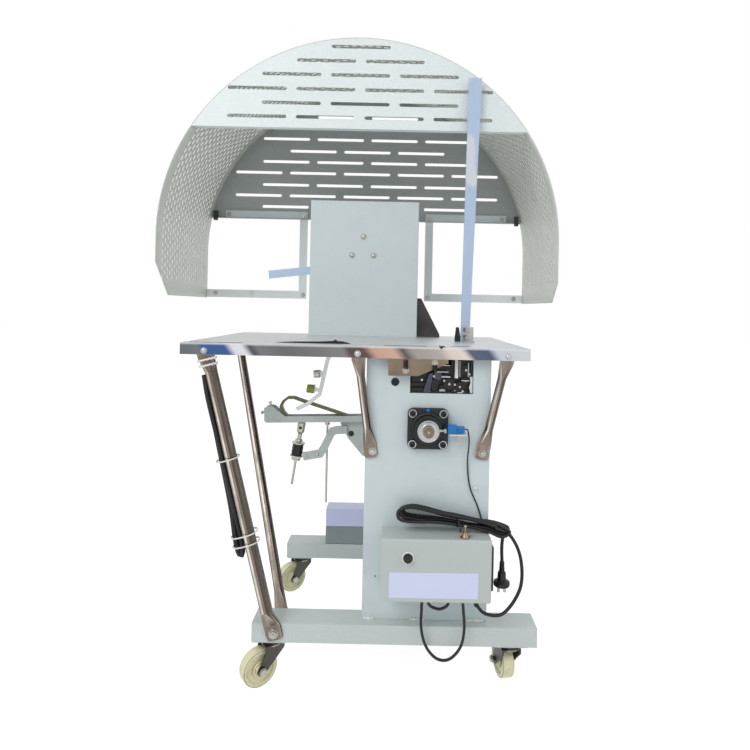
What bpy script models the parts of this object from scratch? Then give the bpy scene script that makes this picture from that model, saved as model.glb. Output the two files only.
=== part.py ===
"""Floor-standing carton tying machine: a low wheeled base, a drive cabinet, a table and an arched guard."""

import math

import bmesh
import bpy
from mathutils import Matrix, Vector

# Gap kept between two pieces that touch, and running clearances
SEAT = 0.0003
BORE_CLEARANCE = 0.0005
WHEEL_CLEARANCE = 0.0055

# Casters
WHEEL_DIAMETER = 0.076
WHEEL_WIDTH = 0.025
HUB_RADIUS = 0.012
HUB_LENGTH = 0.035
AXLE_RADIUS = 0.004
AXLE_HEAD = 0.0035
CASTER_TRAIL = 0.030
FORK_WALL = 0.003
CROWN_THICKNESS = 0.0035
RACE_RADIUS = 0.020
RACE_HEIGHT = 0.0077
CASTER_PLATE = 0.003
CASTER_PLATE_LENGTH = 0.070
CASTER_INSET = 0.037

# Base beams
BEAM_WIDTH = 0.060
BEAM_HEIGHT = 0.040
BEAM_PITCH = 0.400
FRONT_BEAM_LEFT = -0.205
FRONT_BEAM_LENGTH = 0.598
REAR_BEAM_LEFT = -0.207
REAR_BEAM_LENGTH = 0.552

# Table
TABLE_HEIGHT = 0.720
TABLE_WIDTH = 0.735
TABLE_FRONT = 0.230
TABLE_BACK = 0.270
TABLE_SHEET = 0.002
TABLE_BAND = 0.025
SLOT_WIDTH = 0.012
SLOT_LENGTH = 0.360
FRONT_SLOT_BACK = 0.040
MIDDLE_SLOT_BACK = 0.230

# Drive cabinet
CABINET_LEFT = 0.0235
CABINET_WIDTH = 0.2665
CABINET_DEPTH = 0.410
CABINET_SHEET = 0.003
WINDOW_LEFT = 0.0935
WINDOW_WIDTH = 0.135
WINDOW_DROP = 0.100
WINDOW_DEPTH = 0.150
PEEP_RADIUS = 0.009
PEEP_LEFT = 0.0615
PEEP_DROP = 0.077

# Main shaft and its square flange bearing
BEARING_LEFT = 0.1325
BEARING_DROP = 0.1736
FLANGE_SIDE = 0.086
FLANGE_THICKNESS = 0.011
FLANGE_CORNER = 0.012
BEARING_BOSS_RADIUS = 0.030
BEARING_BOSS_LENGTH = 0.015
COLLAR_RADIUS = 0.023
COLLAR_LENGTH = 0.011
SHAFT_RADIUS = 0.012
SHAFT_END = 0.010

# Struts with flattened ends
STRUT_RADIUS = 0.011
STRUT_WAIST = 0.009
STRUT_FLAT = 0.0044
STRUT_FLAT_WIDTH = 0.030
LEG_STRUT_RADIUS = 0.013
LEG_STRUT_FLAT_WIDTH = 0.037
STRUT_EYE = 0.0135
STRUT_TOP_EYE = 0.0103
STRUT_TAPER = 0.035
STRUT_SIDES = 16
STRUT_DROP = 0.0165

# Column and its fittings
COLUMN_LEFT = -0.160
COLUMN_WIDTH = 0.3036
COLUMN_SETBACK = 0.400
COLUMN_HEIGHT = 0.378
COLUMN_SHEET = 0.003
COLUMN_CORNER = 0.003
GUSSET_WIDTH = 0.066
GUSSET_HEIGHT = 0.110
GUSSET_THICKNESS = 0.006
SIDE_ARM_LENGTH = 0.116
SIDE_ARM_HEIGHT = 0.022
SIDE_ARM_THICKNESS = 0.008
SIDE_ARM_RISE = 0.168

# Arched guard
HOOD_CENTRE = -0.018
HOOD_RADIUS = 0.512
HOOD_RISE = 0.253
HOOD_SKIRT = 0.150
HOOD_FRONT = 0.250
HOOD_DEPTH = 0.400
HOOD_SHEET = 0.002
HOOD_FRONT_DROP = 0.232
HOOD_BACK_OVERLAP = 0.0173
HOOD_PLATE = 0.002
HOOD_LEFT_CHAMFER = 0.085
HOOD_RIGHT_CHAMFER = 0.050
HOOD_STEPS = 56
FRAME_BAR = 0.025
FRAME_THICKNESS = 0.005
FRAME_OVERLAP = 0.022
LEFT_FRAME_GAP = 0.046
RIGHT_FRAME_GAP = 0.031

# Upright arm beside the guard
POST_X = 0.2577
POST_LEAN = 0.013
POST_SETBACK = 0.230
POST_HEIGHT = 0.660
POST_FOOT_WIDTH = 0.022
POST_TOP_WIDTH = 0.0325
POST_THICKNESS = 0.006
POST_BRACKET_HEIGHT = 0.037
POST_BRACKET_DEPTH = 0.030
POST_BRACKET_SHEET = 0.003
POST_BRACKET_WIDTH = 0.0268
POST_BRACKET_SHIFT = 0.0074
GUARD_PLATE_LEFT = 0.046
GUARD_PLATE_WIDTH = 0.126
GUARD_PLATE_DROP = 0.061
GUARD_PLATE_RISE = 0.028
GUARD_PLATE_SHEET = 0.0015
CHEEK_LENGTH = 0.034
CHEEK_HEIGHT = 0.038
GUIDE_WIDTH = 0.014
ADJUSTER_TILT = 8.2
TRIP_WIDTH = 0.014
TRIP_HEIGHT = 0.036
TRIP_THICKNESS = 0.006

# Control box
BOX_LEFT = 0.0395
BOX_WIDTH = 0.225
BOX_DEPTH = 0.0647
BOX_HEIGHT = 0.128
BOX_RAISE = 0.070
BOX_EDGE = 0.003
BUTTON_RADIUS = 0.00975
BUTTON_LENGTH = 0.0097
BUTTON_LEFT = 0.055
BUTTON_DROP = 0.038
SCREW_LEFT = 0.1715
SCREW_INSET = 0.014
SCREW_HEIGHT = 0.0258
SWITCH_HEIGHT = 0.090
SWITCH_WIDTH = 0.030
SWITCH_THICKNESS = 0.006

# Shaft sensor
SENSOR_WIDTH = 0.035
SENSOR_HEIGHT = 0.018
SENSOR_DEPTH = 0.018
SENSOR_LEFT = 0.040
SENSOR_DROP = -0.0136
SENSOR_BRACKET_WIDTH = 0.036
SENSOR_BRACKET_HEIGHT = 0.020
SENSOR_BRACKET_SHEET = 0.003
SENSOR_STANDOFF = 0.010

# Tension linkage under the table, hung on the cabinet's left wall
LINK_PLANE = -0.100
LEVER_LENGTH = 0.225
LEVER_WIDTH = 0.030
LEVER_HEIGHT = 0.014
LEVER_WALL = 0.003
LEVER_DROP = 0.1755
LEVER_TILT = -1.6
STRAP_THICKNESS = 0.006
HOOK_THICKNESS = 0.009
CRANK_THICKNESS = 0.018
ROD_RADIUS = 0.0025
ADJUSTER_RADIUS = 0.012
BRACKET_THICKNESS = 0.006
BRACKET_HOLE = 0.006

# Rod box on the rear beam
ROD_BOX_WIDTH = 0.123
ROD_BOX_HEIGHT = 0.0487
ROD_LID_HEIGHT = 0.0487
ROD_BOX_DEPTH = 0.056

# Cords and belt
CORD_RADIUS = 0.0035
LEAD_RADIUS = 0.0030
SENSOR_LEAD_RADIUS = 0.0015
BELT_RADIUS = 0.006
HANK_LENGTH = 0.236
HANK_HEIGHT = 0.030
HANK_DEPTH = 0.034
HANK_TILT = 8.0

# The box of the whole machine is centred on this shift from the table's middle line
ORIGIN_X = 0.018
ORIGIN_Y = -0.070

AXLE_HEIGHT = WHEEL_DIAMETER / 2
CROWN_BOTTOM = WHEEL_DIAMETER + WHEEL_CLEARANCE
CROWN_TOP = CROWN_BOTTOM + CROWN_THICKNESS
RACE_TOP = CROWN_TOP + RACE_HEIGHT
BEAM_BOTTOM = RACE_TOP + SEAT + CASTER_PLATE
BEAM_TOP = BEAM_BOTTOM + BEAM_HEIGHT
FRONT_Y = -BEAM_PITCH / 2
REAR_Y = BEAM_PITCH / 2
TABLE_UNDER = TABLE_HEIGHT - TABLE_SHEET
BAND_FRONT = -TABLE_FRONT
BAND_BACK = TABLE_BACK
CABINET_RIGHT = CABINET_LEFT + CABINET_WIDTH
CABINET_FRONT = -CABINET_DEPTH / 2
CABINET_BACK = CABINET_DEPTH / 2
CABINET_BOTTOM = BEAM_TOP + SEAT
CABINET_TOP = TABLE_UNDER - SEAT
HOOD_Y0 = BAND_FRONT + HOOD_FRONT
HOOD_Y1 = HOOD_Y0 + HOOD_DEPTH
HOOD_Z = TABLE_HEIGHT + HOOD_RISE
HOOD_TOP = HOOD_Z + HOOD_RADIUS
HOOD_BOTTOM = HOOD_Z - HOOD_SKIRT
BACK_PLATE_Y = HOOD_Y1 - HOOD_PLATE
COLUMN_FRONT = BAND_FRONT + COLUMN_SETBACK
COLUMN_BACK = BACK_PLATE_Y - SEAT
COLUMN_RIGHT = COLUMN_LEFT + COLUMN_WIDTH
COLUMN_BOTTOM = TABLE_HEIGHT + SEAT
COLUMN_TOP = COLUMN_BOTTOM + COLUMN_HEIGHT
BACK_PLATE_BOTTOM = COLUMN_TOP - HOOD_BACK_OVERLAP
BOX_X0 = CABINET_LEFT + BOX_LEFT
BOX_X1 = BOX_X0 + BOX_WIDTH
BOX_BACK = CABINET_FRONT - SEAT
BOX_FRONT = BOX_BACK - BOX_DEPTH
BOX_BOTTOM = BEAM_TOP + BOX_RAISE
BOX_TOP = BOX_BOTTOM + BOX_HEIGHT
BEARING_X = CABINET_LEFT + BEARING_LEFT
BEARING_Z = TABLE_HEIGHT - BEARING_DROP


def srgb(red, green, blue):
    """Linear colour from the 0 to 255 values seen on screen."""
    values = [part / 255 for part in (red, green, blue)]
    return [v / 12.92 if v <= 0.04045 else ((v + 0.055) / 1.055) ** 2.4 for v in values]


def paint(name, colour, roughness, metallic):
    material = bpy.data.materials.new(name)
    material.use_nodes = True
    shader = material.node_tree.nodes["Principled BSDF"]
    shader.inputs["Base Color"].default_value = (*srgb(*colour), 1)
    shader.inputs["Roughness"].default_value = roughness
    shader.inputs["Metallic"].default_value = metallic
    return material


def make_collection(name, hidden):
    group = bpy.data.collections.new(name)
    group.hide_render = hidden
    bpy.context.scene.collection.children.link(group)
    return group


def add(name, data, material, group=None):
    item = bpy.data.objects.new(name, data)
    (group or parts).objects.link(item)
    item.parent = root
    if material:
        data.materials.append(material)
    if group is cutters:
        item.hide_render = True
        item.display_type = "WIRE"
    return item


def mesh_from(name, bm):
    mesh = bpy.data.meshes.new(name)
    bm.to_mesh(mesh)
    bm.free()
    return mesh


def box(name, low, high, material=None, group=None, edge=0.0):
    """Box between two corners, with an optional rounded edge."""
    low, high = Vector(low), Vector(high)
    bm = bmesh.new()
    bmesh.ops.create_cube(bm, size=1, matrix=Matrix.Diagonal((*(high - low), 1)))
    item = add(name, mesh_from(name, bm), material, group)
    item.location = (low + high) / 2
    if edge:
        rounding = item.modifiers.new("Rounded edges", "BEVEL")
        rounding.width = edge
        rounding.segments = 2
    return item


TURNS = {"X": (0, math.pi / 2, 0), "Y": (-math.pi / 2, 0, 0), "Z": (0, 0, 0)}


def cylinder(name, centre, radius, length, axis, material=None, group=None, sides=24):
    bm = bmesh.new()
    bmesh.ops.create_cone(bm, cap_ends=True, segments=sides, radius1=radius, radius2=radius, depth=length)
    item = add(name, mesh_from(name, bm), material, group)
    item.location = centre
    item.rotation_euler = TURNS[axis]
    smooth(item.data)
    return item


def smooth(mesh):
    mesh.shade_smooth()
    mesh.set_sharp_from_angle(angle=math.radians(35))


PLANES = {
    "XY": Matrix(((1, 0, 0), (0, 1, 0), (0, 0, 1))),
    "XZ": Matrix(((1, 0, 0), (0, 0, -1), (0, 1, 0))),
    "YZ": Matrix(((0, 0, 1), (1, 0, 0), (0, 1, 0))),
}
NORMALS = {"XY": Vector((0, 0, 1)), "XZ": Vector((0, 1, 0)), "YZ": Vector((1, 0, 0))}


def plate(name, outlines, plane, low, high, material=None, group=None):
    """Flat piece: closed outlines in a plane, the second and later ones holes, from low to high across it."""
    curve = bpy.data.curves.new(name, "CURVE")
    curve.dimensions = "2D"
    curve.fill_mode = "BOTH"
    curve.extrude = (high - low) / 2
    for outline in outlines:
        spline = curve.splines.new("POLY")
        spline.points.add(len(outline) - 1)
        for point, (u, v) in zip(spline.points, outline):
            point.co = (u, v, 0, 1)
        spline.use_cyclic_u = True
    item = add(name, curve, material, group)
    item.rotation_euler = PLANES[plane].to_euler()
    item.location = NORMALS[plane] * (low + high) / 2
    return as_mesh(item, group)


def as_mesh(item, group=None):
    """The evaluated shape of an object as a plain mesh object that can be cut or joined."""
    bpy.context.view_layer.update()
    name, place, material = item.name, item.matrix_basis.copy(), item.active_material
    mesh = bpy.data.meshes.new_from_object(item.evaluated_get(bpy.context.evaluated_depsgraph_get()))
    bm = bmesh.new()
    bm.from_mesh(mesh)
    bmesh.ops.remove_doubles(bm, verts=bm.verts, dist=1e-6)
    bmesh.ops.recalc_face_normals(bm, faces=bm.faces)
    bm.to_mesh(mesh)
    bm.free()
    bpy.data.objects.remove(item)
    mesh.name = name
    if not mesh.materials:
        mesh.materials.append(material)
    made = add(name, mesh, None, group)
    made.matrix_basis = place
    return made


def combine(item, others, operation):
    """Boolean of an object with others, which become hidden helpers."""
    for other in others:
        change = item.modifiers.new(operation.title(), "BOOLEAN")
        change.operation = operation
        change.object = other
    return item


def circle(u, v, radius, sides=24):
    turns = [2 * math.pi * step / sides for step in range(sides)]
    return [(u + radius * math.cos(turn), v + radius * math.sin(turn)) for turn in turns]


def rounded(low_u, low_v, high_u, high_v, radius, steps=4):
    """Rectangle with round corners."""
    corners = ((high_u, high_v, 0), (low_u, high_v, 90), (low_u, low_v, 180), (high_u, low_v, 270))
    outline = []
    for u, v, start in corners:
        centre_u = u - radius if u == high_u else u + radius
        centre_v = v - radius if v == high_v else v + radius
        for step in range(steps + 1):
            turn = math.radians(start + 90 * step / steps)
            outline.append((centre_u + radius * math.cos(turn), centre_v + radius * math.sin(turn)))
    return outline


def ribbon(path, thickness):
    """Outline of a strip of even thickness along a bent path."""
    path = [Vector(point) for point in path]
    sides = []
    for index, point in enumerate(path):
        before = (point - path[index - 1]).normalized() if index else None
        after = (path[index + 1] - point).normalized() if index < len(path) - 1 else None
        along = ((before or after) + (after or before)).normalized()
        across = Vector((-along.y, along.x))
        half = thickness / 2 / max(0.4, along.dot(after or before))
        sides.append((point + across * half, point - across * half))
    return [tuple(left) for left, _ in sides] + [tuple(right) for _, right in reversed(sides)]


def turned(name, profile, centre, axis, material, steps=32, group=None):
    """Revolved piece: the profile holds (radius, height) pairs and runs down its outer side."""
    bm = bmesh.new()
    made = [bm.verts.new((radius, 0, height)) for radius, height in profile]
    for first, second in zip(made, made[1:]):
        bm.edges.new((first, second))
    if profile[0][0] > 0:
        bm.edges.new((made[-1], made[0]))
    item = add(name, mesh_from(name, bm), material, group)
    item.location = centre
    item.rotation_euler = TURNS[axis]
    screw = item.modifiers.new("Revolve", "SCREW")
    screw.steps = screw.render_steps = steps
    screw.use_merge_vertices = True
    screw.merge_threshold = 1e-5
    return item


def tube(name, points, radius, material, group=None):
    """Round wire or cord along the points."""
    curve = bpy.data.curves.new(name, "CURVE")
    curve.dimensions = "3D"
    curve.bevel_depth = radius
    curve.bevel_resolution = 2
    curve.use_fill_caps = True
    spline = curve.splines.new("POLY")
    spline.points.add(len(points) - 1)
    for point, place in zip(spline.points, points):
        point.co = (*place, 1)
    return add(name, curve, material, group)


def flow(points, count):
    """Evenly spaced points on a smooth curve through the given ones."""
    points = [Vector(point) for point in points]
    ends = [2 * points[0] - points[1], *points, 2 * points[-1] - points[-2]]
    fine = []
    for a, b, c, d in zip(ends, ends[1:], ends[2:], ends[3:]):
        for step in range(24):
            t = step / 24
            fine.append(0.5 * (2 * b + (c - a) * t + (2 * a - 5 * b + 4 * c - d) * t**2 + (3 * b - a - 3 * c + d) * t**3))
    fine.append(points[-1])
    reach = [0.0]
    for first, second in zip(fine, fine[1:]):
        reach.append(reach[-1] + (second - first).length)
    result, index = [], 0
    for step in range(count):
        goal = reach[-1] * step / (count - 1)
        while index < len(fine) - 2 and reach[index + 1] < goal:
            index += 1
        part = (goal - reach[index]) / max(1e-9, reach[index + 1] - reach[index])
        result.append(fine[index].lerp(fine[index + 1], min(1.0, part)))
    return result


def loft(name, sections, material):
    """Closed skin through rings of equally many points, each ring turned to follow the one before."""
    bm = bmesh.new()
    rings = []
    for ring in sections:
        if rings:
            last = [vertex.co for vertex in rings[-1]]
            turns = range(len(ring))
            apart = [sum((ring[(i + turn) % len(ring)] - last[i]).length for i in turns) for turn in turns]
            turn = apart.index(min(apart))
            ring = ring[turn:] + ring[:turn]
        rings.append([bm.verts.new(point) for point in ring])
    for first, second in zip(rings, rings[1:]):
        for i in range(len(first)):
            j = (i + 1) % len(first)
            bm.faces.new((first[i], first[j], second[j], second[i]))
    bm.faces.new(rings[0])
    bm.faces.new(rings[-1])
    bmesh.ops.recalc_face_normals(bm, faces=bm.faces)
    item = add(name, mesh_from(name, bm), material)
    smooth(item.data)
    return item


def ring_of(centre, along, thick, half_width, half_thickness, power):
    """One cross section of a strut: round at power 1, nearly rectangular when the power is small."""
    wide = along.cross(thick).normalized()
    points = []
    for step in range(STRUT_SIDES):
        angle = 2 * math.pi * (step + 0.5) / STRUT_SIDES
        across = math.copysign(abs(math.cos(angle)) ** power, math.cos(angle))
        through = math.copysign(abs(math.sin(angle)) ** power, math.sin(angle))
        points.append(centre + wide * (across * half_width) + thick * (through * half_thickness))
    return points


def strut(name, top, top_face, bottom, bottom_face, radius, flat_width=STRUT_FLAT_WIDTH):
    """Tube flattened at both ends, each end lying on a face whose outward direction is given."""
    lift = SEAT + STRUT_FLAT / 2
    ends = []
    faces = (Vector(top_face), Vector(bottom_face))
    bolts = (Vector(top) + faces[0] * lift, Vector(bottom) + faces[1] * lift)
    whole = bolts[1] - bolts[0]
    for bolt, face, reach in zip(bolts, faces, (STRUT_TOP_EYE, -STRUT_EYE)):
        flat = (whole - face * whole.dot(face)).normalized()
        ends.append((bolt, face, flat, bolt + flat * (reach * 1.3)))
    rounds = [knee + face * (radius - STRUT_FLAT / 2) for _, face, _, knee in ends]
    middle = (rounds[1] - rounds[0]).normalized()
    thick = (faces[0] - middle * faces[0].dot(middle)).normalized()
    half, flat_half = flat_width / 2, STRUT_FLAT / 2
    bolt, face, flat, knee = ends[0]
    sections = [ring_of(bolt - flat * STRUT_TOP_EYE, flat, face, half * 0.7, flat_half, 0.4)]
    sections.append(ring_of(bolt - flat * STRUT_TOP_EYE * 0.75, flat, face, half * 0.93, flat_half, 0.4))
    sections.append(ring_of(bolt, flat, face, half, flat_half, 0.4))
    sections.append(ring_of(knee, flat, face, half, flat_half, 0.4))
    sections.append(ring_of(rounds[0] + middle * STRUT_TAPER, middle, thick, radius, radius, 1))
    other = (faces[1] - middle * faces[1].dot(middle)).normalized()
    bolt, face, flat, knee = ends[1]
    sections.append(ring_of(rounds[1] - middle * STRUT_TAPER, middle, other, radius, radius, 1))
    sections.append(ring_of(knee, flat, face, half, flat_half, 0.4))
    sections.append(ring_of(bolt, flat, face, half, flat_half, 0.4))
    sections.append(ring_of(bolt + flat * STRUT_EYE * 0.75, flat, face, half * 0.93, flat_half, 0.4))
    sections.append(ring_of(bolt + flat * STRUT_EYE, flat, face, half * 0.7, flat_half, 0.4))
    return loft(name, sections, brown_steel)


for old in list(bpy.data.objects):
    bpy.data.objects.remove(old, do_unlink=True)

parts = make_collection("carton_strapping_machine", False)
cutters = make_collection("cutters", True)
root = bpy.data.objects.new("machine_origin", None)
root.location = (ORIGIN_X, ORIGIN_Y, 0)
parts.objects.link(root)

cabinet_paint = paint("cabinet_paint", (190, 202, 205), 0.45, 0.0)
hood_paint = paint("hood_paint", (207, 216, 214), 0.45, 0.0)
column_paint = paint("column_paint", (185, 196, 197), 0.45, 0.0)
stainless = paint("stainless", (200, 203, 205), 0.25, 1.0)
bright_steel = paint("bright_steel", (190, 192, 195), 0.25, 1.0)
brown_steel = paint("brown_steel", (120, 112, 104), 0.4, 0.8)
film_blue = paint("film_blue", (175, 195, 220), 0.5, 0.0)
dark_steel = paint("dark_steel", (62, 62, 64), 0.5, 0.6)
black_plastic = paint("black_plastic", (24, 24, 25), 0.45, 0.0)
black_rubber = paint("black_rubber", (26, 26, 27), 0.6, 0.0)
cream_nylon = paint("cream_nylon", (215, 215, 165), 0.45, 0.0)
brass = paint("brass", (168, 140, 110), 0.35, 1.0)
sensor_blue = paint("sensor_blue", (0, 120, 200), 0.4, 0.0)
olive_paint = paint("olive_paint", (110, 115, 80), 0.5, 0.0)
lid_lavender = paint("lid_lavender", (205, 205, 222), 0.45, 0.0)


def beam(name, left, length, middle_y, stems):
    """Rectangular tube with the caster plates welded under it."""
    low = (left, middle_y - BEAM_WIDTH / 2, BEAM_BOTTOM)
    high = (left + length, middle_y + BEAM_WIDTH / 2, BEAM_TOP)
    item = box(name, low, high, column_paint)
    for number, x in enumerate(stems):
        half_x, half_y = CASTER_PLATE_LENGTH / 2, BEAM_WIDTH / 2 - 0.003
        under = (x - half_x, middle_y - half_y, BEAM_BOTTOM - CASTER_PLATE)
        over = (x + half_x, middle_y + half_y, BEAM_BOTTOM + BEAM_HEIGHT / 4)
        combine(item, [box(f"{name}_plate_{number}", under, over, None, cutters)], "UNION")
    return item


front_stems = (FRONT_BEAM_LEFT + CASTER_INSET, FRONT_BEAM_LEFT + FRONT_BEAM_LENGTH - 1.45 * CASTER_INSET)
rear_stems = (REAR_BEAM_LEFT + CASTER_INSET, REAR_BEAM_LEFT + REAR_BEAM_LENGTH - 1.22 * CASTER_INSET)
beam("front_beam", FRONT_BEAM_LEFT, FRONT_BEAM_LENGTH, FRONT_Y, front_stems)
beam("rear_beam", REAR_BEAM_LEFT, REAR_BEAM_LENGTH, REAR_Y, rear_stems)


def fork_mesh():
    """Caster fork about its stem: race, crown, two tapered legs and the axle bolt."""
    inner = WHEEL_WIDTH / 2 + WHEEL_CLEARANCE
    outer = inner + FORK_WALL
    crown = box("fork", (-0.020, -outer + 0.0004, CROWN_BOTTOM), (0.022, outer - 0.0004, CROWN_TOP), None)
    helpers = [cylinder("fork_race", (0, 0, (CROWN_TOP + RACE_TOP) / 2 - 0.0005), RACE_RADIUS, RACE_HEIGHT + 0.001, "Z", None, cutters)]
    leg = [(-0.020, CROWN_TOP - 0.0006), (-0.020, CROWN_BOTTOM - 0.008)]
    for step in range(9):
        turn = math.radians(205 + 18 * step)
        leg.append((CASTER_TRAIL + 0.0105 * math.cos(turn), AXLE_HEIGHT + 0.0105 * math.sin(turn)))
    leg += [(0.0225, CROWN_BOTTOM - 0.010), (0.0225, CROWN_TOP - 0.0006)]
    for name, low in (("fork_leg_left", inner), ("fork_leg_right", -outer)):
        helpers.append(plate(name, [leg], "XZ", low, low + FORK_WALL, None, cutters))
    axle_length = 2 * (outer + AXLE_HEAD)
    helpers.append(cylinder("fork_axle", (CASTER_TRAIL, 0, AXLE_HEIGHT), AXLE_RADIUS, axle_length, "Y", None, cutters, 16))
    combine(crown, helpers, "UNION")
    bpy.context.view_layer.update()
    crown.parent = None
    for helper in helpers:
        helper.parent = None
    bpy.context.view_layer.update()
    mesh = bpy.data.meshes.new_from_object(crown.evaluated_get(bpy.context.evaluated_depsgraph_get()))
    mesh.transform(crown.matrix_basis)
    for item in [crown, *helpers]:
        bpy.data.objects.remove(item)
    mesh.materials.clear()
    mesh.materials.append(dark_steel)
    return mesh


def wheel_profile():
    """Section of a caster wheel: tread with rounded shoulders, dished sides and a hub with its bore."""
    radius, half = WHEEL_DIAMETER / 2, WHEEL_WIDTH / 2
    bore, hub = AXLE_RADIUS + BORE_CLEARANCE, HUB_LENGTH / 2
    side = [(bore, hub), (HUB_RADIUS - 0.001, hub), (HUB_RADIUS, hub - 0.001), (HUB_RADIUS, half - 0.004)]
    side += [(radius - 0.010, half - 0.004), (radius - 0.008, half), (radius - 0.0025, half)]
    side += [(radius - 0.0008, half - 0.0012), (radius, half - 0.004)]
    return side + [(r, -z) for r, z in reversed(side)]


CASTERS = {
    "front_left": (front_stems[0], FRONT_Y, 217),
    "front_right": (front_stems[1], FRONT_Y, 100),
    "rear_left": (rear_stems[0], REAR_Y, 215),
    "rear_right": (rear_stems[1], REAR_Y, 80),
}
fork_shape = fork_mesh()
for corner, (x, y, swivel) in CASTERS.items():
    stem = bpy.data.objects.new(f"stem_{corner}", None)
    parts.objects.link(stem)
    stem.parent = root
    stem.location = (x, y, 0)
    stem.rotation_euler = (0, 0, math.radians(swivel))
    fork = add(f"caster_fork_{corner}", fork_shape, None)
    fork.parent = stem
    wheel = turned(f"caster_wheel_{corner}", wheel_profile(), (CASTER_TRAIL, 0, AXLE_HEIGHT), "Y", cream_nylon)
    wheel.parent = stem


def make_cabinet():
    left, floor = CABINET_LEFT + WINDOW_LEFT, TABLE_HEIGHT - WINDOW_DROP
    inner_front, inner_back = CABINET_FRONT + CABINET_SHEET, CABINET_BACK - CABINET_SHEET
    edge = [(CABINET_LEFT, CABINET_BOTTOM), (CABINET_RIGHT, CABINET_BOTTOM), (CABINET_RIGHT, CABINET_TOP)]
    window = [(left + WINDOW_WIDTH, CABINET_TOP), (left + WINDOW_WIDTH, floor), (left, floor), (left, CABINET_TOP)]
    peep = circle(CABINET_LEFT + PEEP_LEFT, TABLE_HEIGHT - PEEP_DROP, PEEP_RADIUS)
    outline = [*edge, *window, (CABINET_LEFT, CABINET_TOP)]
    plate("cabinet_shell", [outline, peep], "XZ", CABINET_FRONT, inner_front, cabinet_paint)
    low, high = (CABINET_LEFT, inner_back, CABINET_BOTTOM), (CABINET_RIGHT, CABINET_BACK, CABINET_TOP)
    box("cabinet_rear_wall", low, high, cabinet_paint)
    for name, x in (("left", CABINET_LEFT), ("right", CABINET_RIGHT - CABINET_SHEET)):
        low, high = (x, inner_front + SEAT, CABINET_BOTTOM), (x + CABINET_SHEET, inner_back - SEAT, CABINET_TOP)
        box(f"cabinet_{name}_wall", low, high, cabinet_paint)
    side = 0.004
    back = CABINET_FRONT + WINDOW_DEPTH
    low = (left + side, CABINET_FRONT + 0.022, floor + 0.002)
    block = box("mechanism_block", low, (left + WINDOW_WIDTH - side, back, TABLE_UNDER - SEAT), black_plastic)
    knife_low = (left + 0.30 * WINDOW_WIDTH, CABINET_FRONT, floor + 0.012)
    knife_high = (left + 0.38 * WINDOW_WIDTH, CABINET_FRONT + 0.060, TABLE_HEIGHT)
    gate_low = (left + 0.62 * WINDOW_WIDTH, CABINET_FRONT, floor + 0.008)
    gate_high = (left + 0.68 * WINDOW_WIDTH, CABINET_FRONT + 0.060, TABLE_HEIGHT)
    slots = [box("knife_slot", knife_low, knife_high, None, cutters)]
    slots.append(box("gate_slot", gate_low, gate_high, None, cutters))
    combine(block, slots, "DIFFERENCE")


make_cabinet()


def make_bearing():
    half = FLANGE_SIDE / 2
    outline = rounded(BEARING_X - half, BEARING_Z - half, BEARING_X + half, BEARING_Z + half, FLANGE_CORNER)
    back = CABINET_FRONT - SEAT
    front = back - FLANGE_THICKNESS
    flange = plate("flange_bearing", [outline], "XZ", front, back, brown_steel)
    end = front - BEARING_BOSS_LENGTH
    middle = (BEARING_X, (end + back) / 2 - 0.0005, BEARING_Z)
    boss = cylinder("bearing_boss", middle, BEARING_BOSS_RADIUS, back - end - 0.001, "Y", None, cutters, 32)
    combine(flange, [boss], "UNION")
    bore = cylinder("bearing_bore", (BEARING_X, CABINET_FRONT, BEARING_Z), SHAFT_RADIUS + SEAT, 0.1, "Y", None, cutters)
    combine(flange, [bore], "DIFFERENCE")
    face = back - FLANGE_THICKNESS - BEARING_BOSS_LENGTH - SEAT - 0.0005
    tip = face - COLLAR_LENGTH - SHAFT_END
    profile = [(0, 0), (SHAFT_RADIUS - 0.001, 0), (SHAFT_RADIUS, -0.001), (SHAFT_RADIUS, -SHAFT_END)]
    profile += [(COLLAR_RADIUS - 0.001, -SHAFT_END), (COLLAR_RADIUS, -SHAFT_END - 0.001)]
    profile += [(COLLAR_RADIUS, tip - face), (SHAFT_RADIUS, tip - face), (SHAFT_RADIUS, tip - back), (0, tip - back)]
    turned("main_shaft", profile, (BEARING_X, tip, BEARING_Z), "Y", bright_steel).rotation_euler = (math.pi / 2, 0, 0)


make_bearing()


def make_table():
    half = TABLE_WIDTH / 2
    low = (-half, BAND_FRONT, TABLE_HEIGHT - TABLE_BAND)
    top = box("table_top", low, (half, BAND_BACK, TABLE_HEIGHT), stainless)
    inner = half - TABLE_SHEET
    hollow_low = (-inner, BAND_FRONT + TABLE_SHEET, TABLE_HEIGHT - TABLE_BAND - 0.01)
    hollow = box("table_hollow", hollow_low, (inner, BAND_BACK - TABLE_SHEET, TABLE_UNDER), None, cutters)
    cuts = [hollow]
    for name, setback in (("front_slot", FRONT_SLOT_BACK), ("middle_slot", MIDDLE_SLOT_BACK)):
        y = BAND_FRONT + setback
        low = (-SLOT_LENGTH / 2, y - SLOT_WIDTH / 2, TABLE_UNDER - 0.01)
        cuts.append(box(name, low, (SLOT_LENGTH / 2, y + SLOT_WIDTH / 2, TABLE_HEIGHT + 0.01), None, cutters))
    combine(top, cuts, "DIFFERENCE")


make_table()

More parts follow.
